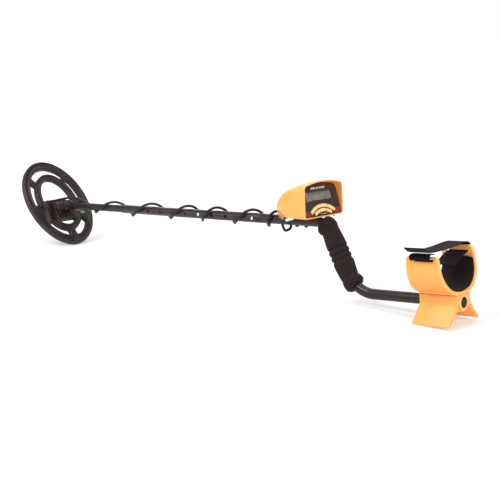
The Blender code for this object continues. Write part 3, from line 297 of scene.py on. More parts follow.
FOAM = look("cellular_foam", (0.0135, 0.0078, 0.0080), 0.94, vary=0.35, vary_scale=420.0, tint=(0.0200, 0.0125, 0.0128),
            grain=(("cells", 1300.0, 0.65, 0.0005), ("noise", 300.0, 0.25, 0.0006)), spec=0.16,
            sheen=(0.04, 0.6, (0.8, 0.7, 0.7)))
LINER = look("liner_foam", (0.0120, 0.0080, 0.0086), 0.93, vary=0.14, vary_scale=260.0, tint=(0.0150, 0.0104, 0.0110),
             grain=(("cells", 950.0, 0.30, 0.0003), ("noise", 140.0, 0.12, 0.0004)), spec=0.12,
             sheen=(0.03, 0.6, (0.8, 0.7, 0.7)))
NICKEL = look("nickel_plate", (0.78, 0.77, 0.76), 0.20, metal=1.0, vary=0.06, vary_scale=200.0, rough_vary=0.07,
              grain=(("noise", 2200.0, 0.06, 0.0001),))
STEEL = look("zinc_steel", (0.60, 0.60, 0.61), 0.30, metal=1.0, vary=0.10, vary_scale=160.0, rough_vary=0.10,
             grain=(("noise", 1500.0, 0.08, 0.0001),))
DARK_STEEL = look("black_oxide_steel", (0.055, 0.050, 0.050), 0.36, metal=0.9, vary=0.2, vary_scale=220.0,
                  grain=(("noise", 1500.0, 0.10, 0.0001),))
COPPER = look("enamelled_copper", (0.72, 0.33, 0.16), 0.30, metal=1.0, vary=0.15, vary_scale=140.0,
              grain=(("noise", 900.0, 0.2, 0.0002),))
BOARD = look("board_green", (0.015, 0.16, 0.06), 0.40, vary=0.25, vary_scale=180.0, grain=(("noise", 800.0, 0.1, 0.0002),))
CELL = look("battery_jacket", (0.08, 0.09, 0.10), 0.35, metal=0.3, vary=0.2, vary_scale=70.0, grain=(("noise", 600.0, 0.05, 0.0002),))
KEY = look("key_silicone", (0.91, 0.60, 0.25), 0.48, vary=0.05, vary_scale=90.0, tint=(0.93, 0.67, 0.32),
           grain=(("noise", 1600.0, 0.10, 0.0001),), edge_highlight=0.4, edge_highlight_color=(0.98, 0.80, 0.48))
PANEL = look("panel_film", (0.040, 0.022, 0.020), 0.36, vary=0.22, vary_scale=60.0, tint=(0.054, 0.030, 0.027), spec=0.30,
             grain=(("noise", 1500.0, 0.14, 0.0001),))
RED = look("red_print", (0.24, 0.018, 0.014), 0.38, vary=0.18, vary_scale=110.0, tint=(0.32, 0.032, 0.022),
           grain=(("noise", 1500.0, 0.12, 0.0001),))
FRAME_PRINT = look("dark_print", (0.030, 0.012, 0.011), 0.32, vary=0.2, vary_scale=90.0, grain=(("noise", 1500.0, 0.10, 0.0001),))
PALE_PRINT = look("pale_print", (0.62, 0.56, 0.46), 0.45, vary=0.1, vary_scale=120.0, grain=(("noise", 1500.0, 0.10, 0.0001),))
LCD_GREY = look("lcd_glass", (0.235, 0.225, 0.200), 0.30, vary=0.08, vary_scale=30.0, tint=(0.265, 0.250, 0.225),
                grain=(("noise", 900.0, 0.03, 0.0001),))
LCD_DARK = look("lcd_segment", (0.13, 0.12, 0.11), 0.35, vary=0.08, vary_scale=90.0, grain=(("noise", 900.0, 0.03, 0.0001),))
LCD_PINK = look("lcd_edge_strip", (0.30, 0.17, 0.15), 0.34, vary=0.08, vary_scale=60.0, grain=(("noise", 900.0, 0.03, 0.0001),))
WEB = woven("strap_webbing", (0.0085, 0.0055, 0.0080), None)
HOOK = woven("strap_hook_side", (0.0035, 0.0022, 0.0024), None, thread=0.0009, rough=0.95, fuzzy=0.6)
STITCH = look("stitch_thread", (0.050, 0.042, 0.044), 0.6, vary=0.2, vary_scale=300.0, grain=(("noise", 1800.0, 0.3, 0.0001),))

GLASS = bpy.data.materials.new("display_glass")
GLASS.use_nodes = True
_g = GLASS.node_tree.nodes["Principled BSDF"]
_g.inputs["Base Color"].default_value = (0.93, 0.93, 0.91, 1.0)
_g.inputs["Roughness"].default_value = 0.06
_g.inputs["Transmission Weight"].default_value = 1.0
_g.inputs["IOR"].default_value = 1.10


# ---------------------------------------------------------------------------
# mesh helpers
# ---------------------------------------------------------------------------
def put(name, bm, mat, body, node=(), sharp=32.0, recalc=True, smooth=True):
    """Turn a bmesh in the row frame into a finished piece on a body."""
    if recalc:
        bmesh.ops.recalc_face_normals(bm, faces=bm.faces)
    me = bpy.data.meshes.new(name)
    bm.to_mesh(me)
    bm.free()
    for mm in (mat if isinstance(mat, (list, tuple)) else [mat]):
        me.materials.append(mm)
    ob = bpy.data.objects.new(name, me)
    scene.collection.objects.link(ob)
    if smooth:
        me.shade_smooth()
        me.set_sharp_from_angle(angle=rad(sharp))
    if body:
        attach(ob, body)
    if node:
        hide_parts(*([node] if isinstance(node, str) else node))
    return ob


def cut(ob, cutter, op='DIFFERENCE', sharp=32.0):
    """Boolean, applied at once; the cutter goes away."""
    m = ob.modifiers.new("cut", 'BOOLEAN')
    m.operation = op
    m.solver = 'EXACT'
    m.object = cutter
    bpy.context.view_layer.update()
    deps = bpy.context.evaluated_depsgraph_get()
    me = bpy.data.meshes.new_from_object(ob.evaluated_get(deps))
    ob.modifiers.clear()
    old = ob.data
    ob.data = me
    bpy.data.meshes.remove(old)
    bpy.data.objects.remove(cutter, do_unlink=True)
    me.shade_smooth()
    me.set_sharp_from_angle(angle=rad(sharp))
    return ob


def skin(bm, rows, closed=True, loop=False, cap0=False, cap1=False):
    """Join rows of vertices into quads; a row of one vertex is a pole."""
    pairs = list(zip(rows[:-1], rows[1:]))
    if loop:
        pairs.append((rows[-1], rows[0]))
    for a, b in pairs:
        n = max(len(a), len(b))
        for i in range(n if closed else n - 1):
            j = (i + 1) % n
            if len(a) == 1 and len(b) == 1:
                continue
            if len(a) == 1:
                bm.faces.new((a[0], b[j], b[i]))
            elif len(b) == 1:
                bm.faces.new((a[i], a[j], b[0]))
            else:
                bm.faces.new((a[i], a[j], b[j], b[i]))
    if cap0:
        bm.faces.new(rows[0])
    if cap1:
        bm.faces.new(rows[-1])


def add_turned(bm, profile, origin, axis, n=48, radial=None, loop=False, x_hint=None):
    """Revolve (radius, height) about axis through origin."""
    z = Vector(axis).normalized()
    x = Vector(x_hint) if x_hint else z.orthogonal()
    x = (x - z * x.dot(z)).normalized()
    y = z.cross(x)
    rows = []
    for r, h in profile:
        c = origin + z * h
        if r < 1e-7:
            rows.append([bm.verts.new(c)])
            continue
        row = []
        for k in range(n):
            a = 2 * math.pi * k / n
            rr = r * (radial(a, r, h) if radial else 1.0)
            row.append(bm.verts.new(c + (x * math.cos(a) + y * math.sin(a)) * rr))
        rows.append(row)
    skin(bm, rows, loop=loop)


def turned(name, profile, origin, axis, mat, body, node=(), n=48, radial=None, loop=False, sharp=32.0, x_hint=None):
    bm = bmesh.new()
    add_turned(bm, profile, origin, axis, n, radial, loop, x_hint)
    return put(name, bm, mat, body, node, sharp)


def rounded_profile(profile, rad_each, n=4):
    """Round the inner corners of an open (radius, height) profile."""
    out = [profile[0]]
    for i in range(1, len(profile) - 1):
        p0, p1, p2 = Vector(profile[i - 1]), Vector(profile[i]), Vector(profile[i + 1])
        r = rad_each[i] if isinstance(rad_each, (list, tuple)) else rad_each
        d0, d1 = p0 - p1, p2 - p1
        l0, l1 = d0.length, d1.length
        if r <= 0 or l0 < 1e-7 or l1 < 1e-7:
            out.append(tuple(p1))
            continue
        d0 /= l0
        d1 /= l1
        ang = d0.angle(d1)
        if ang > rad(176) or ang < rad(4):
            out.append(tuple(p1))
            continue
        t = min(r / math.tan(ang / 2), 0.48 * l0, 0.48 * l1)
        rr = t * math.tan(ang / 2)
        c = p1 + (d0 + d1).normalized() * (rr / math.sin(ang / 2))
        a, b = p1 + d0 * t - c, p1 + d1 * t - c
        sweep = a.angle(b)
        for k in range(n + 1):
            f = k / n
            v = (a * math.sin((1 - f) * sweep) + b * math.sin(f * sweep)) / max(math.sin(sweep), 1e-9)
            out.append(tuple(c + v))
    out.append(profile[-1])
    return out


def rounded_loop(poly, r, n=4):
    """Round the corners of a closed 2-D outline; r is one radius or one per corner."""
    m = len(poly)
    rs = r if isinstance(r, (list, tuple)) else [r] * m
    ext = [poly[-1]] + list(poly) + [poly[0]]
    return rounded_profile(ext, [0] + list(rs) + [0], n)[1:-1]


def offset_ring(ring, back, hole):
    area = sum(ring[i - 1][0] * ring[i][1] - ring[i][0] * ring[i - 1][1] for i in range(len(ring)))
    sgn = (1.0 if area > 0 else -1.0) * (-1.0 if hole else 1.0)
    out = []
    for i in range(len(ring)):
        p0, p1, p2 = Vector(ring[i - 1]), Vector(ring[i]), Vector(ring[(i + 1) % len(ring)])
        d0, d1 = (p1 - p0).normalized(), (p2 - p1).normalized()
        n0, n1 = Vector((-d0.y, d0.x)), Vector((-d1.y, d1.x))
        nn = n0 + n1
        nn = nn / max(0.5 * nn.length_squared, 0.5) * sgn
        q = p1 + nn * back
        out.append((q.x, q.y))
    return out


def add_plate(bm, rings, rows, at):
    """A flat moulding with shaped edges; at(x, y, z) places a point in the row frame."""
    grid = []
    for z, back in rows:
        level = []
        for k, ring in enumerate(rings):
            flat = offset_ring(ring, back, k > 0) if back else ring
            level.append(([bm.verts.new(at(x, y, z)) for x, y in flat], flat))
        grid.append(level)
    for la, lb in zip(grid[:-1], grid[1:]):
        for (ra, _a), (rb, _b) in zip(la, lb):
            skin(bm, [ra, rb])
    for level in (grid[0], grid[-1]):
        vs = [v for r, _f in level for v in r]
        for tri in tessellate_polygon([[Vector((x, y, 0.0)) for x, y in f] for _r, f in level]):
            bm.faces.new([vs[i] for i in tri])


def plate(name, rings, rows, at, mat, body, node=(), sharp=32.0):
    bm = bmesh.new()
    add_plate(bm, rings, rows, at)
    return put(name, bm, mat, body, node, sharp)


def frames(pts):
    """Tangent, normal and binormal carried along a path without twist."""
    tan = []
    for i in range(len(pts)):
        a = pts[max(0, i - 1)]
        b = pts[min(len(pts) - 1, i + 1)]
        tan.append((b - a).normalized())
    nrm = tan[0].orthogonal().normalized()
    out = []
    for i, t in enumerate(tan):
        if i:
            q = tan[i - 1].rotation_difference(t)
            nrm = q @ nrm
            nrm = (nrm - t * nrm.dot(t)).normalized()
        out.append((t, nrm, t.cross(nrm)))
    return out


def add_sweep(bm, pts, radii, n=16, cap=True):
    fr = frames(pts)
    rows = []
    for i, p in enumerate(pts):
        r = radii[i] if isinstance(radii, (list, tuple)) else radii
        _t, a, b = fr[i]
        rows.append([bm.verts.new(p + (a * math.cos(2 * math.pi * k / n) + b * math.sin(2 * math.pi * k / n)) * r)
                     for k in range(n)])
    skin(bm, rows, cap0=cap, cap1=cap)


def spline(points, n):
    """n points evenly spaced along a centripetal curve through the given points, and its length."""
    P = [Vector(p) for p in points]
    P = [P[0] * 2 - P[1]] + P + [P[-1] * 2 - P[-2]]
    fine = []
    for i in range(1, len(P) - 2):
        p0, p1, p2, p3 = P[i - 1:i + 3]
        t0 = 0.0
        t1 = t0 + max((p1 - p0).length, 1e-9) ** 0.5
        t2 = t1 + max((p2 - p1).length, 1e-9) ** 0.5
        t3 = t2 + max((p3 - p2).length, 1e-9) ** 0.5
        for k in range(24):
            t = t1 + (t2 - t1) * k / 24.0
            a1 = p0 * ((t1 - t) / (t1 - t0)) + p1 * ((t - t0) / (t1 - t0))
            a2 = p1 * ((t2 - t) / (t2 - t1)) + p2 * ((t - t1) / (t2 - t1))
            a3 = p2 * ((t3 - t) / (t3 - t2)) + p3 * ((t - t2) / (t3 - t2))
            b1 = a1 * ((t2 - t) / (t2 - t0)) + a2 * ((t - t0) / (t2 - t0))
            b2 = a2 * ((t3 - t) / (t3 - t1)) + a3 * ((t - t1) / (t3 - t1))
            fine.append(b1 * ((t2 - t) / (t2 - t1)) + b2 * ((t - t1) / (t2 - t1)))
    fine.append(P[-2])
    acc = [0.0]
    for a, b in zip(fine[:-1], fine[1:]):
        acc.append(acc[-1] + (b - a).length)
    out, j = [], 0
    for i in range(n):
        d = acc[-1] * i / (n - 1)
        while j < len(acc) - 2 and acc[j + 1] < d:
            j += 1
        f = (d - acc[j]) / max(acc[j + 1] - acc[j], 1e-12)
        out.append(fine[j].lerp(fine[j + 1], min(1.0, f)))
    return out, acc[-1]


def smoothstep(a, b, x):
    t = min(1.0, max(0.0, (x - a) / (b - a)))
    return t * t * (3 - 2 * t)


def repaint(mat, *names):
    for nm in names:
        ob = NODES[nm]
        ob.data.materials.clear()
        ob.data.materials.append(mat)


# ---------------------------------------------------------------------------
# the coil cable
# ---------------------------------------------------------------------------
GLAND = (-0.0176, -0.0350)
GLAND_DIR = Vector((0.10, 0.85, 0.50)).normalized()
PLUG_A = Vector((0.7250, -0.0180, 0.0140))
PLUG_DIR = Vector((-0.877, 0.0, -0.480)).normalized()
TURN_BOTTOM = (0.1137, 0.2441, 0.3672, 0.4636, 0.5531, 0.6450)
TURN_TOP = (0.1814, 0.3085, 0.4231, 0.5049, 0.6031, 0.6647)


def cable_route():
    g = Vector((GLAND[0], GLAND[1], Z_TOP + 0.0068)) + GLAND_DIR * 0.0128
    pts = [coil(*g), coil(*(g + GLAND_DIR * 0.008)), world(0.0330, -0.0095, 0.1048),
           world(0.0470, -0.0030, 0.1078), world(0.0640, 0.0045, 0.1085)]
    keys = [(0.0855, 180.0), (0.1000, 225.0)]
    for k, (sb, st) in enumerate(zip(TURN_BOTTOM, TURN_TOP)):
        keys.append((sb, 270.0 + 360.0 * k))
        keys.append((st, 450.0 + 360.0 * k))
    for (s0, a0), (s1, a1) in zip(keys[:-1], keys[1:]):
        n = max(1, int(round((a1 - a0) / 36.0)))
        for j in range(n):
            s = s0 + (s1 - s0) * j / n
            a = rad(a0 + (a1 - a0) * j / n)
            r = (LOW_R if s < MID_S0 - 0.012 else MID_R) + CABLE_R + 0.0011
            r += 0.0023 * max(0.0, math.sin(a))
            pts.append(stem(s, -r * math.cos(a), r * math.sin(a)))
    pts.append(stem(0.6647, 0.0, MID_R + CABLE_R + 0.0030))
    pts.append(stem(0.6730, 0.0128, 0.0085))
    pts.append(stem(0.6830, 0.0150, -0.0040))
    pts.append(stem(0.6900, 0.0090, -0.0155))
    pts.append(stem(0.6895, -0.0060, -0.0190))
    tail = PLUG_A + PLUG_DIR * 0.0248
    pts.append(stem(*(tail + PLUG_DIR * 0.0105)))
    pts.append(stem(*(tail + PLUG_DIR * 0.0050)))
    pts.append(stem(*tail))
    return pts


route, CABLE_LEN = spline(cable_route(), 701)
SPLIT = min(range(len(route)), key=lambda i: (route[i] - stem(0.118, 0, -LOW_R)).length)
for nm, seg, pair, start, end, far in (
        ("coil_cable_front", route[:SPLIT + 1], ("search_coil", "lower_stem"), route[0].lerp(route[1], 0.5), stem(0.085, 0.0, 0.016), "object"),
        ("coil_cable_main", route[SPLIT:], ("lower_stem", "frame"), stem(0.125, 0, 0), stem(0.672, 0, 0), "object")):
    bm = bmesh.new()
    add_sweep(bm, seg, CABLE_R, 14)
    ob = put(nm, bm, CABLE, None, "coil_cable", 60.0)
    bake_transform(ob)

# ---------------------------------------------------------------------------
# search coil
# ---------------------------------------------------------------------------
LABEL_RED = look("label_red", (0.30, 0.050, 0.045), 0.40, vary=0.15, vary_scale=120.0, grain=(("noise", 1500.0, 0.10, 0.0001),))
LABEL_GREEN = look("label_green", (0.080, 0.190, 0.110), 0.40, vary=0.15, vary_scale=120.0, grain=(("noise", 1500.0, 0.10, 0.0001),))


def ell(a, b, t0, t1, n):
    return [(COIL_CX - a * math.cos(rad(t0 + (t1 - t0) * i / n)), b * math.sin(rad(t0 + (t1 - t0) * i / n)))
            for i in range(n + 1)]


def bez(p, c, q, n=5):
    """Corner rounded by a quadratic curve from p to q pulled to c, ends left out."""
    out = []
    for k in range(1, n):
        f = k / n
        out.append(tuple((1 - f) ** 2 * p[i] + 2 * f * (1 - f) * c[i] + f * f * q[i] for i in (0, 1)))
    return out


def speed(a, b, t):
    return math.hypot(a * math.sin(rad(t)), b * math.cos(rad(t))) * rad(1)


def arc_window(t0, t1, d=0.0030, n=26):
    """Slot between the two rings, from angle t0 to t1, with rounded corners."""
    (ao, bo), (ai, bi) = RING_OUT
    o0, o1 = t0 + d / speed(ao, bo, t0), t1 - d / speed(ao, bo, t1)
    i0, i1 = t0 + d / speed(ai, bi, t0), t1 - d / speed(ai, bi, t1)
    outer, inner = ell(ao, bo, o0, o1, n), ell(ai, bi, i1, i0, n)
    c_o0, c_o1 = ell(ao, bo, t0, t1, 1)
    c_i0, c_i1 = ell(ai, bi, t0, t1, 1)

    def side(c_a, c_b):
        va = Vector(c_b) - Vector(c_a)
        f = min(0.42, d / va.length)
        return tuple(Vector(c_a) + va * f), tuple(Vector(c_b) - va * f)

    a1, b1 = side(c_o1, c_i1)
    b0, a0 = side(c_i0, c_o0)
    ring = outer + bez(outer[-1], c_o1, a1) + [a1, b1] + bez(b1, c_i1, inner[0]) + inner
    ring += bez(inner[-1], c_i0, b0) + [b0, a0] + bez(a0, c_o0, outer[0])
    return ring


def d_window(t0, t1, d=0.0036, n=30):
    a, b = INNER_WIN
    s0, s1 = t0 + d / speed(a, b, t0), t1 - d / speed(a, b, t1)
    arc = ell(a, b, s0, s1, n)
    c0, c1 = ell(a, b, t0, t1, 1)
    v = Vector(c0) - Vector(c1)
    f = min(0.42, d / v.length)
    p1, p0 = tuple(Vector(c1) + v * f), tuple(Vector(c0) - v * f)
    return arc + bez(arc[-1], c1, p1) + [p1, p0] + bez(p0, c0, arc[0])


def coil_rings(n=144):
    rings = [ell(COIL_A, COIL_B, 0, 360, n)[:-1]]
    for t0, t1 in ((-42, 42), (53, 92), (-92, -53), (129, 172), (188, 231)):
        rings.append(arc_window(t0, t1, n=40 if t1 - t0 > 60 else 22))
    tf = math.degrees(math.acos(HUB_FRONT / INNER_WIN[0]))
    rings.append(d_window(-tf, tf, n=44))
    tr = math.degrees(math.acos(HUB_REAR / INNER_WIN[0]))
    rings.append(d_window(tr, 360 - tr, 0.0032, 18))
    return rings


rings = coil_rings()
plate("coil_shell_top", rings,
      [(Z_SPLIT + 0.0003, 0.0009), (Z_SPLIT + 0.0009, 0.0004), (Z_TOP - 0.0034, 0.0004), (Z_TOP - 0.0020, 0.0006), (Z_TOP - 0.0010, 0.0011),
       (Z_TOP - 0.0003, 0.0019), (Z_TOP, 0.0029), (Z_TOP, 0.0041), (Z_TOP - 0.0003, 0.0047), (Z_TOP - 0.0010, 0.0052),
       (Z_TOP - 0.0013, 0.0058)], coil, BLACK, "search_coil", "coil_upper_shell", 40.0)
for nm, lx, ly, hx, hy, mt in (("red", 0.0040, 0.0350, 0.0112, 0.0475, LABEL_RED), ("green", 0.0112, 0.0440, 0.0190, 0.0560, LABEL_GREEN)):
    plate("hub_label_" + nm, [rounded_loop([(lx, ly), (hx, ly), (hx, hy), (lx, hy)], 0.0010, 4)],
          [(Z_TOP - 0.0014, 0.0), (Z_TOP - 0.0011, 0.0), (Z_TOP - 0.0010, 0.0001)], coil, mt, "search_coil", ())
plate("coil_shell_bottom", rings,
      [(Z_BOT, 0.0034), (Z_BOT + 0.0003, 0.0022), (Z_BOT + 0.0010, 0.0010), (Z_BOT + 0.0020, 0.0003), (Z_BOT + 0.0032, 0.0),
       (Z_SPLIT - 0.0006, 0.0), (Z_SPLIT - 0.0002, 0.0005), (Z_SPLIT, 0.0012)], coil, BLACK, "search_coil", "coil_lower_shell",
      40.0)

# hub: raised saddle, two ears, ribs that tie them to the bridge
bm = bmesh.new()
hub = rounded_loop([(-0.0235, -0.0240), (0.0275, -0.0240), (0.0275, 0.0240), (-0.0235, 0.0240)], 0.007, 6)
add_plate(bm, [hub], [(Z_TOP - 0.0016, 0.0), (Z_TOP + 0.0004, 0.0), (Z_TOP + 0.0012, 0.0005), (Z_TOP + 0.0015, 0.0014)], coil)
put("coil_hub_saddle", bm, BLACK, "search_coil", ())


def ear_outline(r, foot, z0):
    pts = [(r * math.cos(rad(a)), r * math.sin(rad(a))) for a in range(0, 181, 9)]
    return pts + [(-foot, z0), (foot, z0)]


for sgn, nm in ((-1, "left"), (1, "right")):
    ear = ear_outline(EAR_R, 0.0145, Z_TOP - 0.0014)
    ear = ear[:-2] + [(-0.0105, Z_TOP + 0.0055), (-0.0145, Z_TOP - 0.0014), (0.0145, Z_TOP - 0.0014), (0.0105, Z_TOP + 0.0055)]
    bm = bmesh.new()
    add_plate(bm, [ear], [(EAR_IN, 0.0), (EAR_IN + 0.0012, 0.0), (EAR_OUT - 0.0010, 0.0), (EAR_OUT - 0.0003, 0.0003), (EAR_OUT, 0.0010)],
              lambda x, z, y, s=sgn: coil(x, s * y, z))
    # boss round the bolt and two gussets
    add_turned(bm, [(0.0, EAR_OUT - 0.002), (0.0076, EAR_OUT - 0.002), (0.0076, EAR_OUT - 0.0001), (0.0072, EAR_OUT + 0.0001), (0.0, EAR_OUT + 0.0001)],
               coil(0, 0, 0), (0, sgn, 0), 40)
    for gx in (-0.0068, 0.0068):
        g = rounded_loop([(EAR_OUT - 0.0008, Z_TOP - 0.0012), (EAR_OUT + 0.0068, Z_TOP - 0.0012), (EAR_OUT + 0.0068, Z_TOP + 0.0012),
                          (EAR_OUT - 0.0008, Z_TOP + 0.0095)], [0, 0, 0.0010, 0], 4)
        add_plate(bm, [g], [(gx - 0.0011, 0.0004), (gx - 0.0007, 0.0), (gx + 0.0007, 0.0), (gx + 0.0011, 0.0004)],
                  lambda y, z, x, s=sgn: coil(x, s * y, z))
    put("coil_hub_ear_" + nm, bm, BLACK, "search_coil", ())

# strain relief: tapered, with flex grooves
g0 = Vector((GLAND[0], GLAND[1], Z_TOP + 0.0068))
prof = [(0.0, -0.0022), (0.0056, -0.0022), (0.0060, -0.0018), (0.0060, -0.0004), (0.0056, 0.0), (0.0048, 0.0002)]
for k in range(4):
    h = 0.0012 + k * 0.0028
    r = 0.0047 - 0.00024 * k
    prof += [(r, h), (r, h + 0.0013), (r - 0.0007, h + 0.0016), (r - 0.0008, h + 0.0024)]
prof += [(0.0036, 0.0120), (0.0033, 0.0127), (0.0026, 0.0127), (0.0, 0.0125)]
turned("coil_cable_strain_relief", prof, coil(*g0), along(coil, GLAND_DIR), RUBBER, "search_coil", "coil_cable_gland", 32)
bm = bmesh.new()
pad = [(GLAND[0] + 0.0086 * math.cos(rad(a)), GLAND[1] - 0.0010 + 0.0086 * math.sin(rad(a))) for a in range(0, 360, 10)]
add_plate(bm, [pad], [(Z_TOP - 0.0015, -0.0010), (Z_TOP + 0.0010, 0.0), (Z_TOP + 0.0030, 0.0012), (Z_TOP + 0.0044, 0.0030), (Z_TOP + 0.0048, 0.0050)], coil)
put("coil_cable_entry", bm, BLACK, "search_coil", ())

# bolt, washers, lobed thumb nut
P0 = coil(0, 0, 0)
turned("hub_bolt", rounded_profile([(0.0, 0.0235), (0.0052, 0.0235), (0.0060, 0.0225), (0.0060, EAR_OUT + 0.0003), (BOLT_R, EAR_OUT + 0.0003),
                                    (BOLT_R, -0.0290), (BOLT_R - 0.0006, -0.0318), (0.0, -0.0318)], [0, 0.0004, 0.0004, 0.0002, 0, 0, 0.0003, 0], 3),
       P0, (0, 1, 0), DARK_STEEL, "search_coil", "coil_hub_bolt", 40)
for sgn, nm in ((-1, "left"), (1, "right")):
    turned("hub_washer_" + nm + "_fine", [(0.0090, 0.0132), (0.0091, 0.0128), (0.0090, 0.0114), (BOLT_R + 0.0003, 0.0113), (BOLT_R + 0.0003, 0.0133), (0.0088, 0.0133)],
           P0, (0, sgn, 0), RUBBER, "search_coil", "hub_washer_" + nm, 40, loop=True)


def lobes(a, r, h):
    return 1.0 - 0.075 * (0.5 + 0.5 * math.cos(8 * a)) ** 3 if r > 0.0085 else 1.0


turned("hub_thumb_knob", [(0.0029, 0.0192), (0.0070, 0.0189), (0.0098, 0.0193), (0.0106, 0.0202), (0.0108, 0.0214), (0.0108, 0.0272), (0.0105, 0.0285), (0.0096, 0.0295),
                          (0.0076, 0.0301), (0.0068, 0.0295), (0.0054, 0.0294), (0.0050, 0.0308), (0.0044, 0.0312), (0.0029, 0.0312)],
       P0, (0, -1, 0), BLACK, "thumb_nut", "hub_thumb_nut", 96, lobes, loop=True)

# ---------------------------------------------------------------------------
# stem
# ---------------------------------------------------------------------------
SX = along(stem, (1, 0, 0))
SZ = along(stem, (0, 0, 1))
# yoke tip: rounded blade between the ears, a collar, a plug into the tube
blade = [(0.0095 * math.cos(rad(a)), 0.0095 * math.sin(rad(a))) for a in range(90, 271, 10)]
blade += [(0.0090, -0.0095), (0.0150, -0.0090), (0.0150, 0.0090), (0.0090, 0.0095)]
bm = bmesh.new()
add_plate(bm, [blade], [(-0.0110, 0.0010), (-0.0106, 0.0003), (-0.0099, 0.0), (0.0099, 0.0), (0.0106, 0.0003), (0.0110, 0.0010)],
          lambda x, z, y: stem(x, y, z))
add_turned(bm, rounded_profile([(0.0, 0.0120), (0.0100, 0.0120), (0.0104, 0.0150), (0.0096, 0.0220), (0.0086, 0.0237), (0.0063, 0.0237), (0.0062, 0.0518), (0.0, 0.0520)],
                               [0, 0.001, 0.003, 0.002, 0.0006, 0, 0.0008, 0], 4), stem(0, 0, 0), SX, 48)
put("stem_yoke", bm, BLACK, "lower_stem", "stem_yoke_tip")


def pipe(name, s0, s1, r_out, r_in, holes, node, body, lip=0.0004):
    prof = [(r_in, s0 + lip), (r_in + lip * 0.5, s0), (r_out - lip, s0), (r_out - lip * 0.25, s0 + lip * 0.3), (r_out, s0 + lip),
            (r_out, s1 - lip), (r_out - lip * 0.25, s1 - lip * 0.3), (r_out - lip, s1), (r_in + lip * 0.5, s1), (r_in, s1 - lip)]
    bm = bmesh.new()
    add_turned(bm, prof, stem(0, 0, 0), SX, 56, loop=True, x_hint=(0, 1, 0))
    ob = put(name, bm, TUBE, body, node, 32.0)
    if holes:
        bmc = bmesh.new()
        for s in holes:
            add_turned(bmc, [(0.0, -0.03), (BUTTON_R + 0.0003, -0.03), (BUTTON_R + 0.0003, 0.03), (0.0, 0.03)], stem(s, 0, 0), (0, 1, 0), 28,
                       x_hint=(0.93, 0, 0.3))
        cut(ob, put("cutter", bmc, TUBE, None, smooth=False))
    return ob


pipe("stem_lower", LOW_S0, LOW_S1, LOW_R, LOW_IN, [LOW_BUTTON], "lower_stem_tube", "lower_stem")
pipe("stem_middle", MID_S0, MID_S1, MID_R, MID_IN, [HOLE_FIRST + i * HOLE_PITCH for i in range(N_HOLES)] + [UP_BUTTON],
     "middle_stem_tube", "frame")


def button(name, s, sgn, tube_in, body):
    tip = MID_R + 0.0012
    base = tube_in - 0.0017
    prof = [(0.0, tip + 0.0002)]
    for k in range(1, 7):
        a = rad(90 * k / 6)
        prof.append((BUTTON_R * math.sin(a) ** 0.9, tip - 0.0011 + 0.0013 * math.cos(a)))
    prof += [(BUTTON_R, base), (0.0, base)]
    turned(name + "_dome", prof, stem(s, 0, 0), (0, sgn, 0), NICKEL, body, name, 36)


button("lower_snap_button_left", LOW_BUTTON, -1, LOW_IN, "lower_button_left")
button("lower_snap_button_right", LOW_BUTTON, 1, LOW_IN, "lower_button_right")
button("upper_snap_button_left", UP_BUTTON, -1, 0.0068, "upper_button_left")
button("upper_snap_button_right", UP_BUTTON, 1, 0.0068, "upper_button_right")


def handle_path(n1=20, n2=26):
    a0, a2 = rad(STEM_PITCH), rad(REAR_PITCH)
    d0 = Vector((math.cos(a0), 0, math.sin(a0)))
    p1, p2 = world(BEND_1[0], 0, BEND_1[1]), world(BEND_2[0], 0, BEND_2[1])
    d1 = (p2 - p1).normalized()
    d2 = Vector((math.cos(a2), 0, math.sin(a2)))

    def fillet(p, da, db, r, n):
        turn = da.angle(db)
        a = p - da * (r * math.tan(turn / 2))
        nrm = (db - da * da.dot(db)).normalized()
        cen = a + nrm * r
        return [cen - nrm * (r * math.cos(turn * i / n)) + da * (r * math.sin(turn * i / n)) for i in range(n + 1)]

    pts = [stem(MID_S1 + 0.0003, 0, 0)] + fillet(p1, d0, d1, BEND_1_R, n1) + fillet(p2, d1, d2, BEND_2_R, n2)
    pts.append(world(TUBE_END_X, 0, 0.0304 + (TUBE_END_X - 1.0) * math.tan(a2)))
    return pts


hp = handle_path()
front = [stem(SPIGOT_S0, 0, 0), stem(SPIGOT_S0 + 0.0006, 0, 0), stem(MID_S1 - 0.0002, 0, 0), stem(MID_S1 + 0.0003, 0, 0), stem(MID_S1 + 0.0008, 0, 0)]
bm = bmesh.new()
body_pts = front + [hp[0].lerp(hp[1], 0.5)] + hp[1:-1] + [hp[-2].lerp(hp[-1], 0.5), hp[-1]]
radii = [LOW_R - 0.0006, LOW_R, LOW_R, TOP_R - 0.0004, TOP_R] + [TOP_R] * (len(body_pts) - 5)
add_sweep(bm, body_pts, radii, 56)
ht = put("handle_tube_bent", bm, TUBE, "frame", "handle_tube", 32.0)
bmc = bmesh.new()
add_turned(bmc, [(0.0, -0.03), (BUTTON_R + 0.0003, -0.03), (BUTTON_R + 0.0003, 0.03), (0.0, 0.03)], stem(UP_BUTTON, 0, 0), (0, 1, 0), 28, x_hint=(0.93, 0, 0.3))
cut(ht, put("cutter", bmc, TUBE, None, smooth=False))

u_end = (TUBE_END_X - 1.0) / math.cos(rad(REAR_PITCH))
RX = along(rear, (1, 0, 0))
cap_prof = [(0.0, u_end + 0.0030)]
for k in range(1, 6):
    f = k / 5
    cap_prof.append((0.0072 * f, u_end + 0.0030 - 0.0004 * f * f))
cap_prof += [(0.0082, u_end + 0.0022), (0.00895, u_end + 0.0014), (0.00925, u_end + 0.0006), (0.0090, u_end + 0.0002), (0.0076, u_end - 0.0002), (0.0, u_end - 0.0002)]
turned("tube_end_plug", cap_prof, rear(0, 0, 0), RX, RUBBER, "frame", "tube_end_cap", 48)

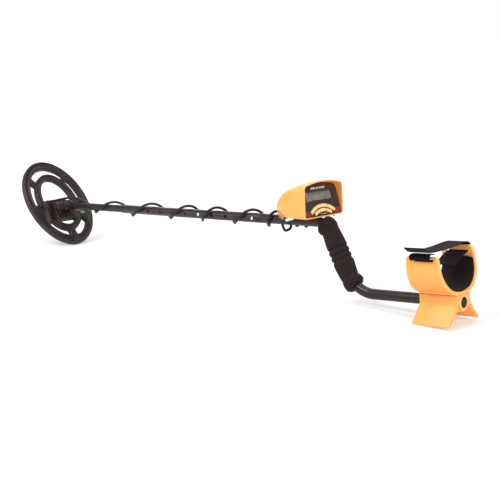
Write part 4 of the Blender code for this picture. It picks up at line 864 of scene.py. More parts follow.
# ---------------------------------------------------------------------------
# foam grip
# ---------------------------------------------------------------------------
fine, _l = spline(handle_path(14, 16), 900)
GX, GZ = 0.8079 - OX, 0.1335
i0 = min(range(len(fine)), key=lambda i: abs(fine[i].x - GX) + abs(fine[i].z - GZ))
prof = [(0.0000, 0.0165), (0.0020, 0.0180), (0.0060, 0.0187), (0.0125, 0.0185), (0.0145, 0.0172), (0.0190, 0.0161),
        (0.0250, 0.0167), (0.0340, 0.0176), (0.0430, 0.0183), (0.0495, 0.0187), (0.0508, 0.0168), (0.0528, 0.0168),
        (0.0545, 0.0184), (0.0595, 0.0189), (0.0625, 0.0169), (0.0645, 0.0169), (0.0660, 0.0187), (0.0705, 0.0188),
        (0.0718, 0.0171), (0.0745, 0.0171), (0.0785, 0.0188), (0.0820, 0.0189), (0.0910, 0.0181), (0.1000, 0.0172),
        (0.1090, 0.0161), (0.1130, 0.0180), (0.1180, 0.0188), (0.1225, 0.0189), (0.1245, 0.0180), (0.1275, 0.0150)]


def grip_radius(d):
    """Moulded collars, body and finger ribs, with softened corners."""
    def lin(q):
        for (d0, r0), (d1, r1) in zip(prof[:-1], prof[1:]):
            if q <= d1:
                return r0 + (r1 - r0) * max(0.0, (q - d0)) / (d1 - d0)
        return prof[-1][1]
    acc = 0.0
    for k in range(-2, 3):
        acc += lin(min(0.1275, max(0.0, d + k * 0.00020)))
    return acc / 5


pts, rs, acc, i, d = [], [], 0.0, i0, 0.0
while d <= 0.1275 + 1e-9:
    while acc < d and i < len(fine) - 1:
        acc += (fine[i + 1] - fine[i]).length
        i += 1
    back = (acc - d) / max((fine[i] - fine[i - 1]).length, 1e-9) if i > i0 else 0.0
    pts.append(fine[i].lerp(fine[i - 1], min(1.0, max(0.0, back))))
    rs.append(grip_radius(d))
    d += 0.0005
fr = frames(pts)
bm = bmesh.new()
rows = [[bm.verts.new(pts[0] + (fr[0][1] * math.cos(2 * math.pi * k / 64) + fr[0][2] * math.sin(2 * math.pi * k / 64)) * rr) for k in range(64)]
        for rr in (TOP_R + 0.0002, 0.0130, 0.0158)]
for p, r, (t, a, b) in zip(pts, rs, fr):
    row = []
    for k in range(64):
        q = 2 * math.pi * k / 64
        c = math.cos(q)
        row.append(bm.verts.new(p + (a * c + b * math.sin(q)) * r))
    rows.append(row)
rows += [[bm.verts.new(pts[-1] + (fr[-1][1] * math.cos(2 * math.pi * k / 64) + fr[-1][2] * math.sin(2 * math.pi * k / 64)) * rr) for k in range(64)]
         for rr in (0.0150, 0.0125, TOP_R + 0.0002)]
skin(bm, rows)
bore = []
for p, (t, a, b) in zip(pts[::-1][::8] + [pts[0]], fr[::-1][::8] + [fr[0]]):
    bore.append([bm.verts.new(p + (a * math.cos(2 * math.pi * k / 64) + b * math.sin(2 * math.pi * k / 64)) * (TOP_R + 0.0002)) for k in range(64)])
skin(bm, [rows[-1]] + bore[1:-1] + [rows[0]])
for v in [v for v in bm.verts if not v.link_faces]:
    bm.verts.remove(v)
grip = put("hand_grip_foam", bm, FOAM, "frame", "foam_grip", 50.0)

# ---------------------------------------------------------------------------
# control box
# ---------------------------------------------------------------------------
def box_dims(s):
    t = (BOX_REAR - s) / (BOX_REAR - BOX_NOSE)
    t = min(max(t, -0.2), 0.9995)
    tp = max(t, 0.0)
    half = BOX_HALF_W * (1 - tp ** 2.6) ** 0.55
    mid = 0.026
    top = BOX_TOP - 0.027 * tp ** 1.45
    bot = BOX_FLOOR - 0.0080 * smoothstep(0.58, 0.74, tp)
    v = (1 - tp ** 6) ** 0.5
    return half, mid + (bot - mid) * v, mid + (top - mid) * v, tp


def box_section(s, inset=0.0, n_c=8, roof=13, floor=7):
    half, bot, top, t = box_dims(s)
    half -= inset
    bot += inset
    top -= inset
    h = top - bot
    r_low = min(0.0065 + 0.010 * t, half * 0.9, h * 0.40)
    r_top = min(0.0090 + 0.016 * t, half * 0.9, h * 0.45)
    r_low = max(0.0004, r_low - inset * 0.8)
    r_top = max(0.0004, r_top - inset * 0.8)
    drop = 0.0050 * half / BOX_HALF_W
    pts = []

    def arc(cy, cw, r, a0, a1, n):
        for k in range(n + 1):
            a = rad(a0 + (a1 - a0) * k / n)
            pts.append((cy + r * math.cos(a), cw + r * math.sin(a)))

    arc(-(half - r_low), bot + r_low, r_low, 270, 180, n_c)
    arc(-(half - r_top), top - drop - r_top, r_top, 180, 101, n_c)
    for i in range(roof):
        k = 0.86 - 1.72 * i / (roof - 1)
        pts.append((-k * (half - r_top), top - drop * (abs(k) ** 2)))
    arc(half - r_top, top - drop - r_top, r_top, 79, 0, n_c)
    arc(half - r_low, bot + r_low, r_low, 0, -90, n_c)
    for i in range(floor):
        k = 0.85 - 1.70 * i / (floor - 1)
        pts.append((k * (half - r_low), bot))
    return pts


bm = bmesh.new()
N_ST = 46
rows = [[bm.verts.new(stem(BOX_REAR, y, w)) for y, w in box_section(BOX_REAR, 0.0017)],
        [bm.verts.new(stem(BOX_REAR, y, w)) for y, w in box_section(BOX_REAR, 0.0008)],
        [bm.verts.new(stem(BOX_REAR - 0.0002, y, w)) for y, w in box_section(BOX_REAR, 0.0003)]]
nose = 0.6783
for i in range(N_ST + 1):
    f = i / N_ST
    s = (BOX_REAR - 0.0008) - (BOX_REAR - 0.0008 - nose) * math.sin(f * math.pi / 2) ** 0.9
    rows.append([bm.verts.new(stem(s, y, w)) for y, w in box_section(s)])
inner = [[bm.verts.new(stem(BOX_REAR - 0.0002, y, w)) for y, w in box_section(BOX_REAR, 0.0021)]]
for i in range(27):
    f = i / 26
    s = (BOX_REAR - 0.0008) - (BOX_REAR - 0.0008 - nose - 0.0045) * math.sin(f * math.pi / 2) ** 0.9
    inner.append([bm.verts.new(stem(s, y, w)) for y, w in box_section(s, BOX_WALL)])
skin(bm, rows, cap1=True)
skin(bm, [rows[0]] + inner, cap1=True)
shell = put("control_housing", bm, YELLOW, "frame", "housing_shell", 38.0)


def rod_cutter(p0, p1, r, n=40, hint=None):
    bmc = bmesh.new()
    add_turned(bmc, [(0.0, 0.0), (r, 0.0), (r, (p1 - p0).length), (0.0, (p1 - p0).length)], p0, p1 - p0, n, x_hint=hint)
    return put("cutter", bmc, YELLOW, None, smooth=False)


cut(shell, rod_cutter(stem(0.66, 0, 0), stem(0.80, 0, 0), TOP_R + 0.0006, 56), sharp=38.0)
a_in, a_out = PLUG_A - PLUG_DIR * 0.0010, PLUG_A + PLUG_DIR * 0.045
SCOOP = [(0.0092, -0.0010), (0.0096, 0.0040), (0.0108, 0.0090), (0.0126, 0.0160), (0.0140, 0.0230), (0.0148, 0.0320)]
SCOOP_DIR = Vector((-0.55, -0.80, -0.15)).normalized()


def scoop_rod(grow, reach):
    """Solid of the recess: widens from the socket to the open air, along the plug."""
    low = SCOOP[0][1] - grow
    prof_s = [(0.0, low), (SCOOP[0][0] + grow, low)] + [(r + grow, h) for r, h in SCOOP[1:]] + [(SCOOP[-1][0] + grow, reach), (0.0, reach)]
    bms = bmesh.new()
    add_turned(bms, prof_s, stem(*PLUG_A), along(stem, SCOOP_DIR), 48)
    return bms


cut(shell, rod_cutter(stem(*a_in), stem(*a_out), 0.0092, 44), sharp=38.0)
cut(shell, put("cutter", scoop_rod(0.0, 0.060), YELLOW, None, smooth=False), sharp=38.0)
bms = scoop_rod(0.0018, 0.058)
cup = put("plug_recess_wall", bms, YELLOW, "frame", (), 38.0)
bms = bmesh.new()
body_rows = []
for i in range(N_ST + 1):
    f = i / N_ST
    s = (BOX_REAR - 0.0060) - (BOX_REAR - 0.0060 - nose - 0.0004) * math.sin(f * math.pi / 2) ** 0.9
    body_rows.append([bms.verts.new(stem(s, y, w)) for y, w in box_section(s, 0.0006)])
skin(bms, body_rows, cap0=True, cap1=True)
cut(cup, put("cutter", bms, YELLOW, None, smooth=False), 'INTERSECT', 38.0)
cut(cup, put("cutter", scoop_rod(0.0, 0.060), YELLOW, None, smooth=False), sharp=38.0)
cut(cup, rod_cutter(stem(*a_in), stem(*a_out), 0.0092, 44), sharp=38.0)
cut(cup, rod_cutter(stem(0.66, 0, 0), stem(0.80, 0, 0), TOP_R + 0.0006, 56), sharp=38.0)
bmc = bmesh.new()
opening = rounded_loop([(0.7288, 0.0165), (0.7583, 0.0165), (0.7583, 0.0460), (0.7288, 0.0460)], 0.0012, 4)
add_plate(bmc, [opening], [(0.03, 0.0), (0.07, 0.0)], lambda s, w, y: stem(s, y, w))
cut(shell, put("cutter", bmc, YELLOW, None, smooth=False), sharp=38.0)
cut(shell, rod_cutter(stem(0.7560, 0.040, 0.0556), stem(0.7560, 0.07, 0.0556), 0.0044, 36), sharp=38.0)

# screws under the tube
for s, nm in ((0.7136, "mount_screw_front"), (0.7356, "mount_screw_rear")):
    prof = rounded_profile([(0.0, 0.0144), (0.0017, 0.0144), (0.0017, -TOP_R + 0.0002), (0.0036, -TOP_R + 0.0002), (0.0036, -0.0106), (0.0026, -0.0119), (0.0, -0.0120)],
                           [0, 0.0002, 0, 0, 0.0004, 0.0012, 0], 4)
    ob = turned(nm + "_fine", prof, stem(s, 0, 0), SZ, DARK_STEEL, "frame", nm, 36)
    bmc = bmesh.new()
    for a in (0, 90):
        c, q = math.cos(rad(a)), math.sin(rad(a))
        slot = [(-0.0019, -0.0004), (0.0019, -0.0004), (0.0019, 0.0004), (-0.0019, 0.0004)]
        slot = [(x * c - y * q, x * q + y * c) for x, y in slot]
        add_plate(bmc, [slot], [(-0.0140, 0.0), (-0.0107, 0.0)], lambda x, y, z, s=s: stem(s + x, y, z))
        if a == 0:
            c1 = put("cutter", bmc, DARK_STEEL, None, smooth=False)
            cut(ob, c1)
            bmc = bmesh.new()
    cut(ob, put("cutter", bmc, DARK_STEEL, None, smooth=False))


# control panel
def on_panel(inset):
    out = []
    n = len(box_section(BOX_REAR))
    tan_t = math.tan(rad(PANEL_TILT))
    for k in range(n):
        s = PANEL_S
        for _i in range(8):
            y, w = box_section(min(s, BOX_REAR), inset)[k]
            s = PANEL_S - (w - PANEL_W) * tan_t
        out.append((y, (w - PANEL_W) / math.cos(rad(PANEL_TILT))))
    return out


def arc_band(r0, r1, a0, a1, n=16, corner=0.0):
    pts = [(r1 * math.sin(rad(a0 + (a1 - a0) * k / n)), KEY_CY + r1 * math.cos(rad(a0 + (a1 - a0) * k / n))) for k in range(n + 1)]
    pts += [(r0 * math.sin(rad(a1 + (a0 - a1) * k / n)), KEY_CY + r0 * math.cos(rad(a1 + (a0 - a1) * k / n))) for k in range(n + 1)]
    if corner:
        rs = [0.0] * len(pts)
        for i in (0, n, n + 1, 2 * n + 1):
            rs[i] = corner
        pts = rounded_loop(pts, rs, 4)
    return pts


KEYS = {
    "key_upper_left": (0.0500, 0.0560, -38.5, -17.6), "key_upper_middle": (0.0500, 0.0560, -16.0, 16.0),
    "key_upper_right": (0.0500, 0.0560, 17.6, 38.5), "key_lower_left": (0.0418, 0.0478, -31.0, -11.9),
    "key_lower_middle": (0.0418, 0.0478, -10.0, 10.0), "key_lower_right": (0.0418, 0.0478, 11.9, 31.0),
}
LCD = (-0.0335, -0.0005, 0.0350, 0.0150)
lcd_hole = rounded_loop([(LCD[0] - 0.0003, LCD[1] - 0.0003), (LCD[2] + 0.0003, LCD[1] - 0.0003), (LCD[2] + 0.0003, LCD[3] + 0.0003),
                         (LCD[0] - 0.0003, LCD[3] + 0.0003)], 0.0008, 4)
rings = [on_panel(BOX_WALL + 0.0003), lcd_hole]
for nm, (r0, r1, a0, a1) in KEYS.items():
    rings.append(arc_band(r0 - 0.0004, r1 + 0.0004, a0 - 0.35, a1 + 0.35, 12))
plate("control_panel_plate", rings, [(-0.0024, 0.0), (-0.0004, 0.0), (-0.0001, 0.0001), (0.0, 0.0003)], panel, PANEL, "frame", "control_panel")
for nm, (r0, r1, a0, a1) in KEYS.items():
    plate(nm + "_cap", [arc_band(r0, r1, a0, a1, 16)],
          [(-0.0034, 0.0), (0.0006, 0.0), (0.0011, 0.0002), (0.0014, 0.0006), (0.0015, 0.0012)], panel, KEY, nm, nm, 50.0)


def inlay(name, ring, mat, z=0.0, t=0.00012, holes=()):
    plate(name, [ring] + list(holes), [(z, 0.0), (z + t, 0.00004)], panel, mat, "frame", ())


# dark field behind the keys, printed patches, frame round the display
edge = on_panel(BOX_WALL + 0.0022)
inlay("panel_key_field", arc_band(0.0395, 0.0582, -42.0, 42.0, 30, 0.0015), FRAME_PRINT, 0.0, 0.0001,
      [arc_band(r0 - 0.0005, r1 + 0.0005, a0 - 0.45, a1 + 0.45, 12) for (r0, r1, a0, a1) in KEYS.values()])
frame_out = rounded_loop([(-0.0390, -0.0034), (0.0375, -0.0034), (0.0375, 0.0172), (-0.0390, 0.0172)], 0.0022, 5)
frame_in = rounded_loop([(LCD[0] - 0.0002, LCD[1] - 0.0002), (LCD[2] + 0.0002, LCD[1] - 0.0002), (LCD[2] + 0.0002, LCD[3] + 0.0002),
                         (LCD[0] - 0.0002, LCD[3] + 0.0002)], 0.0008, 4)
strip_hole = [(-0.0380, -0.0022), (-0.0339, -0.0022), (-0.0339, 0.0158), (-0.0380, 0.0158)]
inlay("display_border", frame_out, FRAME_PRINT, 0.0, 0.00022, [frame_in])
inlay("display_side_strip", rounded_loop(strip_hole, 0.0006, 3), LCD_PINK, 0.00022, 0.0001)


def corner_patch(sgn):
    pts = [(x, y) for x, y in edge if y < -0.0190 and x * sgn > 0.0295]
    pts.sort(key=lambda p: (p[1], -abs(p[0])))
    pts = sorted(pts, key=lambda p: math.atan2(p[1] + 0.016, abs(p[0]) - 0.030))
    ring = [(sgn * 0.0320, -0.0185)] + [(p[0], p[1]) for p in pts] + [(sgn * 0.0505, -0.0185)]
    return ring


for sgn, nm in ((-1, "left"), (1, "right")):
    low = min(y for _x, y in edge)
    ring = [(0.0292 * sgn, -0.0208), (0.0300 * sgn, low + 0.0002), (0.0440 * sgn, low + 0.0002), (0.0484 * sgn, low + 0.0022),
            (0.0500 * sgn, low + 0.0062), (0.0500 * sgn, -0.0180)]
    if sgn < 0:
        ring = ring[::-1]
    inlay("panel_patch_" + nm, rounded_loop(ring, [0.001, 0.001, 0.002, 0.002, 0.002, 0.001], 3), RED, 0.0, 0.0001)
# generic pale bars over the display, then a row of scale ticks
for k, (xa, xb, ya, yb) in enumerate(((-0.0190, -0.0060, 0.0205, 0.0228), (-0.0040, 0.0030, 0.0205, 0.0228), (0.0050, 0.0200, 0.0205, 0.0228))):
    inlay("panel_bar_%d" % k, rounded_loop([(xa, ya), (xb, ya), (xb, yb), (xa, yb)], 0.0006, 3), PALE_PRINT, 0.0, 0.00008)
for k in range(13):
    x = -0.0180 + k * 0.0030
    tall = 0.0018 if k % 4 == 0 else 0.0010
    inlay("scale_mark_%02d" % k, [(x - 0.00032, 0.0182), (x + 0.00032, 0.0182), (x + 0.00032, 0.0182 + tall), (x - 0.00032, 0.0182 + tall)],
          PALE_PRINT, 0.0, 0.00008)
# short bars under the keys
for k, x in enumerate((-0.0062, 0.0, 0.0062)):
    inlay("key_bar_%d" % k, rounded_loop([(x - 0.0020, -0.0266), (x + 0.0020, -0.0266), (x + 0.0020, -0.0254), (x - 0.0020, -0.0254)], 0.0004, 2),
          PALE_PRINT, 0.0, 0.00008)

# display: window, grey field, a row of dark cells along its top
plate("display_pane", [rounded_loop([(LCD[0], LCD[1]), (LCD[2], LCD[1]), (LCD[2], LCD[3]), (LCD[0], LCD[3])], 0.0007, 3)],
      [(-0.0016, 0.0), (0.0001, 0.0), (0.0003, 0.0002)], panel, GLASS, "frame", "display_window")
plate("display_field", [rounded_loop([(LCD[0], LCD[1]), (LCD[2], LCD[1]), (LCD[2], LCD[3]), (LCD[0], LCD[3])], 0.0007, 3)],
      [(-0.0026, 0.0), (-0.0022, 0.0)], panel, LCD_GREY, "frame", ())
for k in range(12):
    x = -0.0270 + k * 0.0052
    plate("display_cell_%02d" % k, [rounded_loop([(x - 0.0020, 0.0122), (x + 0.0020, 0.0122), (x + 0.0020, 0.0135), (x - 0.0020, 0.0135)], 0.0003, 2)],
          [(-0.0022, 0.0), (-0.0021, 0.0)], panel, LCD_DARK, "frame", ())

# socket, lock ring and plug of the coil cable
PD = along(stem, PLUG_DIR)
PA = stem(*PLUG_A)
turned("coil_socket_flange", rounded_profile([(0.0, -0.0012), (0.0089, -0.0012), (0.0089, 0.0013), (0.0066, 0.0013), (0.0062, 0.0008), (0.0045, 0.0008), (0.0045, 0.0036), (0.0, 0.0036)],
                                             [0, 0.0003, 0.0005, 0.0003, 0, 0, 0.0003, 0], 3), PA, PD, BLACK, "frame", "coil_socket", 44)


def knurl(a, r, h):
    return 1.0 - (0.028 if math.sin(24 * a) > 0 else 0.0) if r > 0.0063 and 0.0032 < h < 0.0105 else 1.0


turned("plug_ring_knurled", [(0.0050, 0.0022), (0.0060, 0.0022), (0.0065, 0.0028), (0.0066, 0.0031), (0.0066, 0.0034), (0.0066, 0.0060), (0.0066, 0.0063), (0.0064, 0.0066), (0.0066, 0.0069), (0.0066, 0.0072),
                             (0.0066, 0.0103), (0.0066, 0.0108), (0.0063, 0.0116), (0.0058, 0.0120), (0.0050, 0.0120)],
       PA, PD, NICKEL, "lock_ring", "plug_lock_ring", 96, knurl, loop=True, sharp=28.0)
turned("cable_plug_barrel", rounded_profile([(0.0, 0.0046), (0.0046, 0.0046), (0.0046, 0.0124), (0.0055, 0.0124), (0.0055, 0.0150), (0.0044, 0.0162), (0.0040, 0.0205), (0.0032, 0.0245), (0.0, 0.0247)],
                                            [0, 0, 0, 0.0003, 0.0006, 0.0008, 0.001, 0.0006, 0], 4), PA, PD, NICKEL, "frame", "cable_plug", 44)

# battery cover and headphone socket on the far side
half_a, half_b = box_dims(0.7280)[0], box_dims(0.7590)[0]
DOOR_ANG = math.atan2(half_b - half_a, 0.0310)
DOOR_Y = box_dims(0.7436)[0] + 0.0005


def on_door(x, z, y):
    c, q = math.cos(DOOR_ANG), math.sin(DOOR_ANG)
    return stem(0.7436 + x * c - y * q, DOOR_Y + x * q + y * c, 0.03125 + z)


bm = bmesh.new()
lid = rounded_loop([(-0.0172, -0.0172), (0.0172, -0.0172), (0.0172, 0.0172), (-0.0172, 0.0172)], 0.0022, 5)
add_plate(bm, [lid], [(0.0, 0.0), (0.0014, 0.0), (0.0018, 0.0002), (0.0020, 0.0007)], on_door)
for k in range(5):
    x = -0.0118 + k * 0.0024
    rib = rounded_loop([(x - 0.0006, -0.0080), (x + 0.0006, -0.0080), (x + 0.0006, 0.0080), (x - 0.0006, 0.0080)], 0.0005, 3)
    add_plate(bm, [rib], [(0.0015, 0.0), (0.0024, 0.0), (0.0027, 0.0003)], on_door)
put("battery_cover_lid", bm, YELLOW, "battery_cover", "battery_door")
turned("headphone_bush", [(0.0034, -0.0120), (0.0034, 0.0010), (0.0037, 0.0016), (0.0044, 0.0017), (0.0058, 0.0011), (0.0062, 0.0005), (0.0062, 0.0), (0.0041, 0.0), (0.0041, -0.0120)],
       stem(0.7560, box_dims(0.7560)[0] + 0.0008, 0.0556), (0, 1, 0), NICKEL, "frame", "headphone_jack", 40, loop=True)

# ---------------------------------------------------------------------------
# arm cuff, liner, stand, strap
# ---------------------------------------------------------------------------
def u_curve(t, off=0.0, top=None):
    """Point of the cuff's outline: t from -1 (top of the left wall) through 0 (bottom) to 1."""
    a, b = CUFF_HALF_W - off, CUFF_MID - CUFF_BOTTOM - off
    arc = 0.86
    if abs(t) <= arc:
        q = math.pi * 1.5 + math.pi / 2 * t / arc
        c, h = math.cos(q), max(0.0, -math.sin(q))
        return a * math.copysign(abs(c) ** (2 / CUFF_POWER), c), CUFF_MID - b * h ** (2 / CUFF_POWER)
    f = (abs(t) - arc) / (1 - arc)
    rim_w = top or (CUFF_TOP_LEFT if t < 0 else CUFF_TOP_RIGHT)
    return math.copysign(a - 0.0010 * f, t), CUFF_MID + (rim_w - CUFF_MID) * f


def rear_edge(w):
    """Station of the cuff's raked rear edge at height w."""
    return CUFF_U1 + 0.0004 - math.tan(rad(9.0)) * (w - 0.0135)


def u_shell(name, t0, t1, off, thick, u0_fn, u1_fn, mat, node, top, lip=0.0, nt=120, end_round=0.004, rim=0.0012):
    """A bent wall: its section across the length is a rounded strip with an optional rolled lip."""
    bm = bmesh.new()
    rows = []
    for i in range(nt + 1):
        t = t0 + (t1 - t0) * i / nt
        y, w = u_curve(t, off, top)
        y2, w2 = u_curve(min(t1, t + 0.004), off, top)
        y1, w1 = u_curve(max(t0, t - 0.004), off, top)
        d = Vector((y2 - y1, w2 - w1)).normalized()
        nrm = Vector((-d.y, d.x))                      # towards the arm
        f0 = (t - t0) / (t1 - t0) * nt
        ends = min(1.0, min(f0, nt - f0) / 3.0)
        k_end = math.sqrt(max(0.0, 1 - (1 - ends) ** 2))
        th = thick * (0.35 + 0.65 * k_end)
        u0, u1 = u0_fn(w) + end_round * (1 - k_end), u1_fn(w) - end_round * (1 - k_end)
        base = thick * 0.5
        sec = []
        L = u1 - u0

        def strip(u, h):
            sec.append((u, h))

        def half(u):
            """Half thickness at a station: thicker in the rolled lip."""
            e = min(u - u0, u1 - u)
            return th / 2 + lip * (1 - smoothstep(0.0030, 0.0058, e))

        m = 26
        us = []
        for k in range(m + 1):
            f = 0.5 - 0.5 * math.cos(math.pi * k / m)
            us.append(u0 + rim * 0.02 + (L - rim * 0.04) * f)
        for u in us:
            e = min(u - u0, u1 - u)
            r = half(u)
            q = min(1.0, e / rim)
            strip(u, -r * math.sqrt(max(0.0, 1 - (1 - q) ** 2)))
        for u in us[::-1]:
            e = min(u - u0, u1 - u)
            r = half(u)
            q = min(1.0, e / rim)
            strip(u, r * math.sqrt(max(0.0, 1 - (1 - q) ** 2)))
        rows.append([bm.verts.new(rear(u, y + nrm.x * (base + h), w + nrm.y * (base + h))) for u, h in sec])
    skin(bm, rows, cap0=True, cap1=True)
    return put(name, bm, mat, "frame", node, 40.0)


cuff = u_shell("arm_cuff_cradle", -1.0, 1.0, 0.0, CUFF_WALL, lambda w: CUFF_U0, rear_edge, YELLOW, "cuff_cradle", None,
               lip=0.0009, rim=0.0019)
for sgn in (-1, 1):
    bmc = bmesh.new()
    sl = rounded_loop([(SLOT_U - 0.0210, SLOT_W - 0.0024), (SLOT_U + 0.0210, SLOT_W - 0.0024), (SLOT_U + 0.0210, SLOT_W + 0.0024), (SLOT_U - 0.0210, SLOT_W + 0.0024)], 0.0020, 5)
    add_plate(bmc, [sl], [(0.045, 0.0), (0.062, 0.0)], lambda u, w, y, s=sgn: rear(u, s * y, w))
    cut(cuff, put("cutter", bmc, YELLOW, None, smooth=False), sharp=40.0)
liner = u_shell("cuff_foam_liner", -0.885, 0.885, CUFF_WALL + 0.0003, LINER_T, lambda w: CUFF_U0 + 0.0024, lambda w: rear_edge(w) - 0.0032, LINER, "cuff_liner",
                0.0770, end_round=0.009, rim=0.0014, nt=110)

# floor under the liner, over the stand: thick base of the cradle
bm = bmesh.new()
base = rounded_loop([(CUFF_U0 + 0.0004, -0.0211), (CUFF_U1 - 0.0006, -0.0211), (CUFF_U1 - 0.0006, 0.0211), (CUFF_U0 + 0.0004, 0.0211)], 0.0015, 4)
add_plate(bm, [base], [(CUFF_BOTTOM + 0.0001, 0.0006), (CUFF_BOTTOM + 0.0006, 0.0), (CUFF_BOTTOM + 0.0042, 0.0)], rear)
put("arm_cuff_base", bm, YELLOW, "frame", ())

# stand: ring boss round the tube, flared legs, flat feet
BOSS = 0.0132


def stand_section():
    """Half outline (y >= 0) of the stand, from the top of its saddle round the foot to the ring's underside."""
    out = [(0.0, CUFF_BOTTOM - 0.0003), (0.0215, CUFF_BOTTOM - 0.0003), (0.0215, -0.0020), (FOOT_Y, FOOT_W), (FOOT_Y - 0.0052, FOOT_W), (0.0132, -0.0056)]
    rr = [0, 0.0012, 0.0060, 0.0016, 0.0012, 0.0030]
    pts = rounded_profile(out + [(0.0128 * math.cos(rad(-42)), 0.0128 * math.sin(rad(-42)))], rr + [0], 5)
    for a in (-50, -60, -70, -80, -90):
        pts.append((0.0128 * math.cos(rad(a)), 0.0128 * math.sin(rad(a))))
    return pts


half_sec = stand_section()
ring = half_sec + [(-y, w) for y, w in half_sec[::-1][1:-1]]
bore = [((TOP_R + 0.0002) * math.cos(rad(a)), (TOP_R + 0.0002) * math.sin(rad(a))) for a in range(0, 360, 6)]
u0, u1 = CUFF_U0 + 0.0003, CUFF_U1 - 0.0005
plate("cuff_floor_stand", [ring, bore],
      [(u0, 0.0012), (u0 + 0.0004, 0.0004), (u0 + 0.0012, 0.0), (u1 - 0.0012, 0.0), (u1 - 0.0004, 0.0004), (u1, 0.0012)],
      lambda y, w, u: rear(u, y, w), YELLOW, "frame", "cuff_stand", 40.0)
# reinforcing ribs between the legs and a raised ring round the tube's end
bm = bmesh.new()
for uc in (0.0400, 0.0800):
    web = [(-0.0150, -0.0070), (-0.0100, -0.0118), (0.0, -0.0132), (0.0100, -0.0118), (0.0150, -0.0070), (0.0290, -0.0215), (0.0, -0.0170), (-0.0290, -0.0215)]
    add_plate(bm, [web], [(uc - 0.0011, 0.0002), (uc - 0.0008, 0.0), (uc + 0.0008, 0.0), (uc + 0.0011, 0.0002)], lambda y, w, u: rear(u, y, w))
put("stand_ribs", bm, YELLOW, "frame", ())
turned("stand_ring_boss", [(TOP_R + 0.0002, u1 - 0.002), (TOP_R + 0.0002, u1 + 0.0006), (TOP_R + 0.0006, u1 + 0.0011), (0.0118, u1 + 0.0011), (0.0124, u1 + 0.0008), (0.0127, u1 + 0.0002), (0.0127, u1 - 0.002)],
       rear(0, 0, 0), RX, YELLOW, "frame", (), 60, loop=True)

turned("cuff_bolt_fine", rounded_profile([(0.0, 0.0200), (0.0040, 0.0200), (0.0046, 0.0190), (0.0046, CUFF_BOTTOM + 0.0046), (0.0022, CUFF_BOTTOM + 0.0046), (0.0022, -0.0190), (0.0, -0.0190)],
                                         [0, 0.0006, 0.0005, 0, 0, 0.0004, 0], 3), rear(0.060, 0, 0), along(rear, (0, 0, 1)), STEEL, "frame", "cuff_bolt", 36)


def smooth2(pts, n):
    q, length = spline([(p[0], 0.0, p[1]) for p in pts], n)
    return [Vector((v.x, v.z)) for v in q], length


def strap_piece(name, line, width, thick, mat, node, n, u_mid=SLOT_U, skew=None, edge_bind=0.0006):
    """A flat strap that follows a line across the cuff, with rounded edges and its own map for the weave."""
    path, length = smooth2(line, n)
    bm = bmesh.new()
    uvl = bm.loops.layers.uv.new("strap")
    rows, marks = [], []
    acc = 0.0
    across = [-0.5, -0.485, -0.46, -0.40, -0.2, 0.0, 0.2, 0.40, 0.46, 0.485, 0.5]
    tk = [0.25, 0.75, 1.0, 0.86, 0.86, 0.86, 0.86, 0.86, 1.0, 0.75, 0.25]
    for i, p in enumerate(path):
        a, b = path[max(0, i - 1)], path[min(len(path) - 1, i + 1)]
        d = (b - a).normalized()
        nrm = Vector((-d.y, d.x))
        if i:
            acc += (p - path[i - 1]).length
        ends = min(1.0, min(acc, length - acc) / 0.0012)
        du = skew(acc / length) if skew else 0.0
        row, mk = [], []
        for side in (1, -1):
            seq = range(len(across)) if side > 0 else range(len(across) - 1, -1, -1)
            for j in seq:
                h = side * thick / 2 * tk[j] * (0.4 + 0.6 * math.sqrt(max(0.0, 1 - (1 - ends) ** 2)))
                u = u_mid + across[j] * width * (0.985 + 0.015 * ends) + du
                row.append(bm.verts.new(rear(u, p.x + nrm.x * h, p.y + nrm.y * h)))
                mk.append((acc, across[j] * width))
        rows.append(row)
        marks.append(mk)
    skin(bm, rows, cap0=True, cap1=True)
    table = {}
    for row, mk in zip(rows, marks):
        for v, m in zip(row, mk):
            table[v] = m
    for f in bm.faces:
        for lp in f.loops:
            lp[uvl].uv = table[lp.vert]
    ob = put(name, bm, mat, "frame", node, 60.0)
    return ob, path, length


STRAP_LINE = [(-0.0775, 0.0975), (-0.0640, 0.0895), (-0.0480, 0.0875), (-0.0250, 0.0872), (0.0050, 0.0880), (0.0320, 0.0897),
              (0.0500, 0.0902), (0.0590, 0.0888), (0.0628, 0.0835), (0.0620, 0.0785), (0.0560, 0.0745), (0.0450, 0.0725),
              (0.0320, 0.0675), (0.0180, 0.0610), (0.0080, 0.0580)]
KEEP_LINE = [(-0.0465, 0.0700), (-0.0485, 0.0745), (-0.0550, 0.0745), (-0.0610, 0.0755), (-0.0627, 0.0800), (-0.0598, 0.0836), (-0.0530, 0.0843), (-0.0450, 0.0836)]
strap_piece("arm_strap_webbing", STRAP_LINE, STRAP_W, STRAP_T, WEB, "arm_strap", 150)
strap_piece("strap_anchor_loop", KEEP_LINE, STRAP_W, 0.0016, HOOK, "strap_anchor", 60)

# ---------------------------------------------------------------------------
# the CAD nodes that stay
# ---------------------------------------------------------------------------
repaint(BOARD, "circuit_board")
repaint(COPPER, "transmit_winding", "receive_winding")
repaint(CELL, "battery_1", "battery_2", "battery_3", "battery_4")
repaint(BLACK, "battery_holder", "speaker")
repaint(STEEL, "lower_snap_spring", "upper_snap_spring", "mount_nut_bar", "cuff_nut")
repaint(LCD_GREY, "lcd_module")

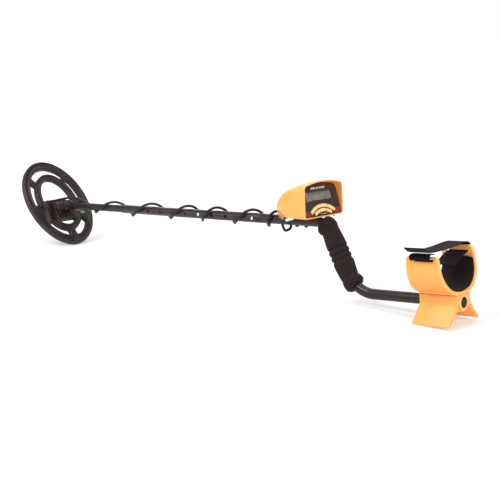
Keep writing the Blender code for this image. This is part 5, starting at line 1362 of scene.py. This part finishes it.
# ---------------------------------------------------------------------------
# floor, light, background
# ---------------------------------------------------------------------------
bm = bmesh.new()
bmesh.ops.create_grid(bm, x_segments=2, y_segments=2, size=40.0)
FLOOR = bpy.data.materials.new("pale_floor")
FLOOR.use_nodes = True
_f = FLOOR.node_tree.nodes["Principled BSDF"]
_f.inputs["Base Color"].default_value = (0.62, 0.62, 0.62, 1.0)
_f.inputs["Roughness"].default_value = 0.7
_f.inputs["Specular IOR Level"].default_value = 0.1
_f.inputs["Emission Color"].default_value = (1.0, 1.0, 1.0, 1.0)
_ft = FLOOR.node_tree
_tc = _ft.nodes.new("ShaderNodeTexCoord")
_len = _ft.nodes.new("ShaderNodeVectorMath")
_len.operation = 'LENGTH'
_ft.links.new(_tc.outputs["Object"], _len.inputs[0])
_map = _ft.nodes.new("ShaderNodeMapRange")
_map.interpolation_type = 'SMOOTHSTEP'
_map.inputs["From Min"].default_value = 0.9
_map.inputs["From Max"].default_value = 3.2
_map.inputs["To Min"].default_value = 0.34
_map.inputs["To Max"].default_value = 0.95
_ft.links.new(_len.outputs["Value"], _map.inputs["Value"])
_ft.links.new(_map.outputs["Result"], _f.inputs["Emission Strength"])
floor = put("floor", bm, FLOOR, None, smooth=False)

w = bpy.data.worlds.new("studio")
w.use_nodes = True
_wn = w.node_tree
_bg = _wn.nodes["Background"]
_bg.inputs["Color"].default_value = (1.0, 1.0, 1.0, 1.0)
_bg.inputs["Strength"].default_value = 1.0
_dim = _wn.nodes.new("ShaderNodeBackground")
_dim.inputs["Color"].default_value = (1.0, 1.0, 1.0, 1.0)
_dim.inputs["Strength"].default_value = 0.34
_lp = _wn.nodes.new("ShaderNodeLightPath")
_mixw = _wn.nodes.new("ShaderNodeMixShader")
_wn.links.new(_lp.outputs["Is Camera Ray"], _mixw.inputs["Fac"])
_wn.links.new(_dim.outputs["Background"], _mixw.inputs[1])
_wn.links.new(_bg.outputs["Background"], _mixw.inputs[2])
_wn.links.new(_mixw.outputs["Shader"], _wn.nodes["World Output"].inputs["Surface"])
scene.world = w


def area(name, loc, target, size, power, color=(1, 1, 1)):
    d = bpy.data.lights.new(name, 'AREA')
    d.shape = 'RECTANGLE'
    d.size, d.size_y = size
    d.energy = power
    d.color = color
    o = bpy.data.objects.new(name, d)
    o.location = loc
    o.rotation_euler = (Vector(target) - Vector(loc)).to_track_quat('-Z', 'Y').to_euler()
    scene.collection.objects.link(o)
    return o


area("key_softbox", (-0.5, -1.9, 2.3), (0.1, 0, 0.1), (1.6, 1.2), 64.0)
area("front_softbox", (-1.7, -1.5, 1.0), (0.0, 0, 0.1), (1.2, 1.0), 9.0)
area("fill_softbox", (2.4, -0.6, 1.3), (0.2, 0, 0.1), (1.4, 1.2), 34.0)
area("top_softbox", (0.0, 0.6, 2.4), (0.0, 0, 0.1), (2.4, 1.2), 26.0)
area("rim_softbox", (-1.8, 1.4, 1.2), (0.0, 0, 0.1), (1.2, 1.0), 10.0)

scene.view_settings.view_transform = 'Standard'
scene.view_settings.look = 'None'
scene.view_settings.exposure = 0.0
scene.view_settings.gamma = 1.0
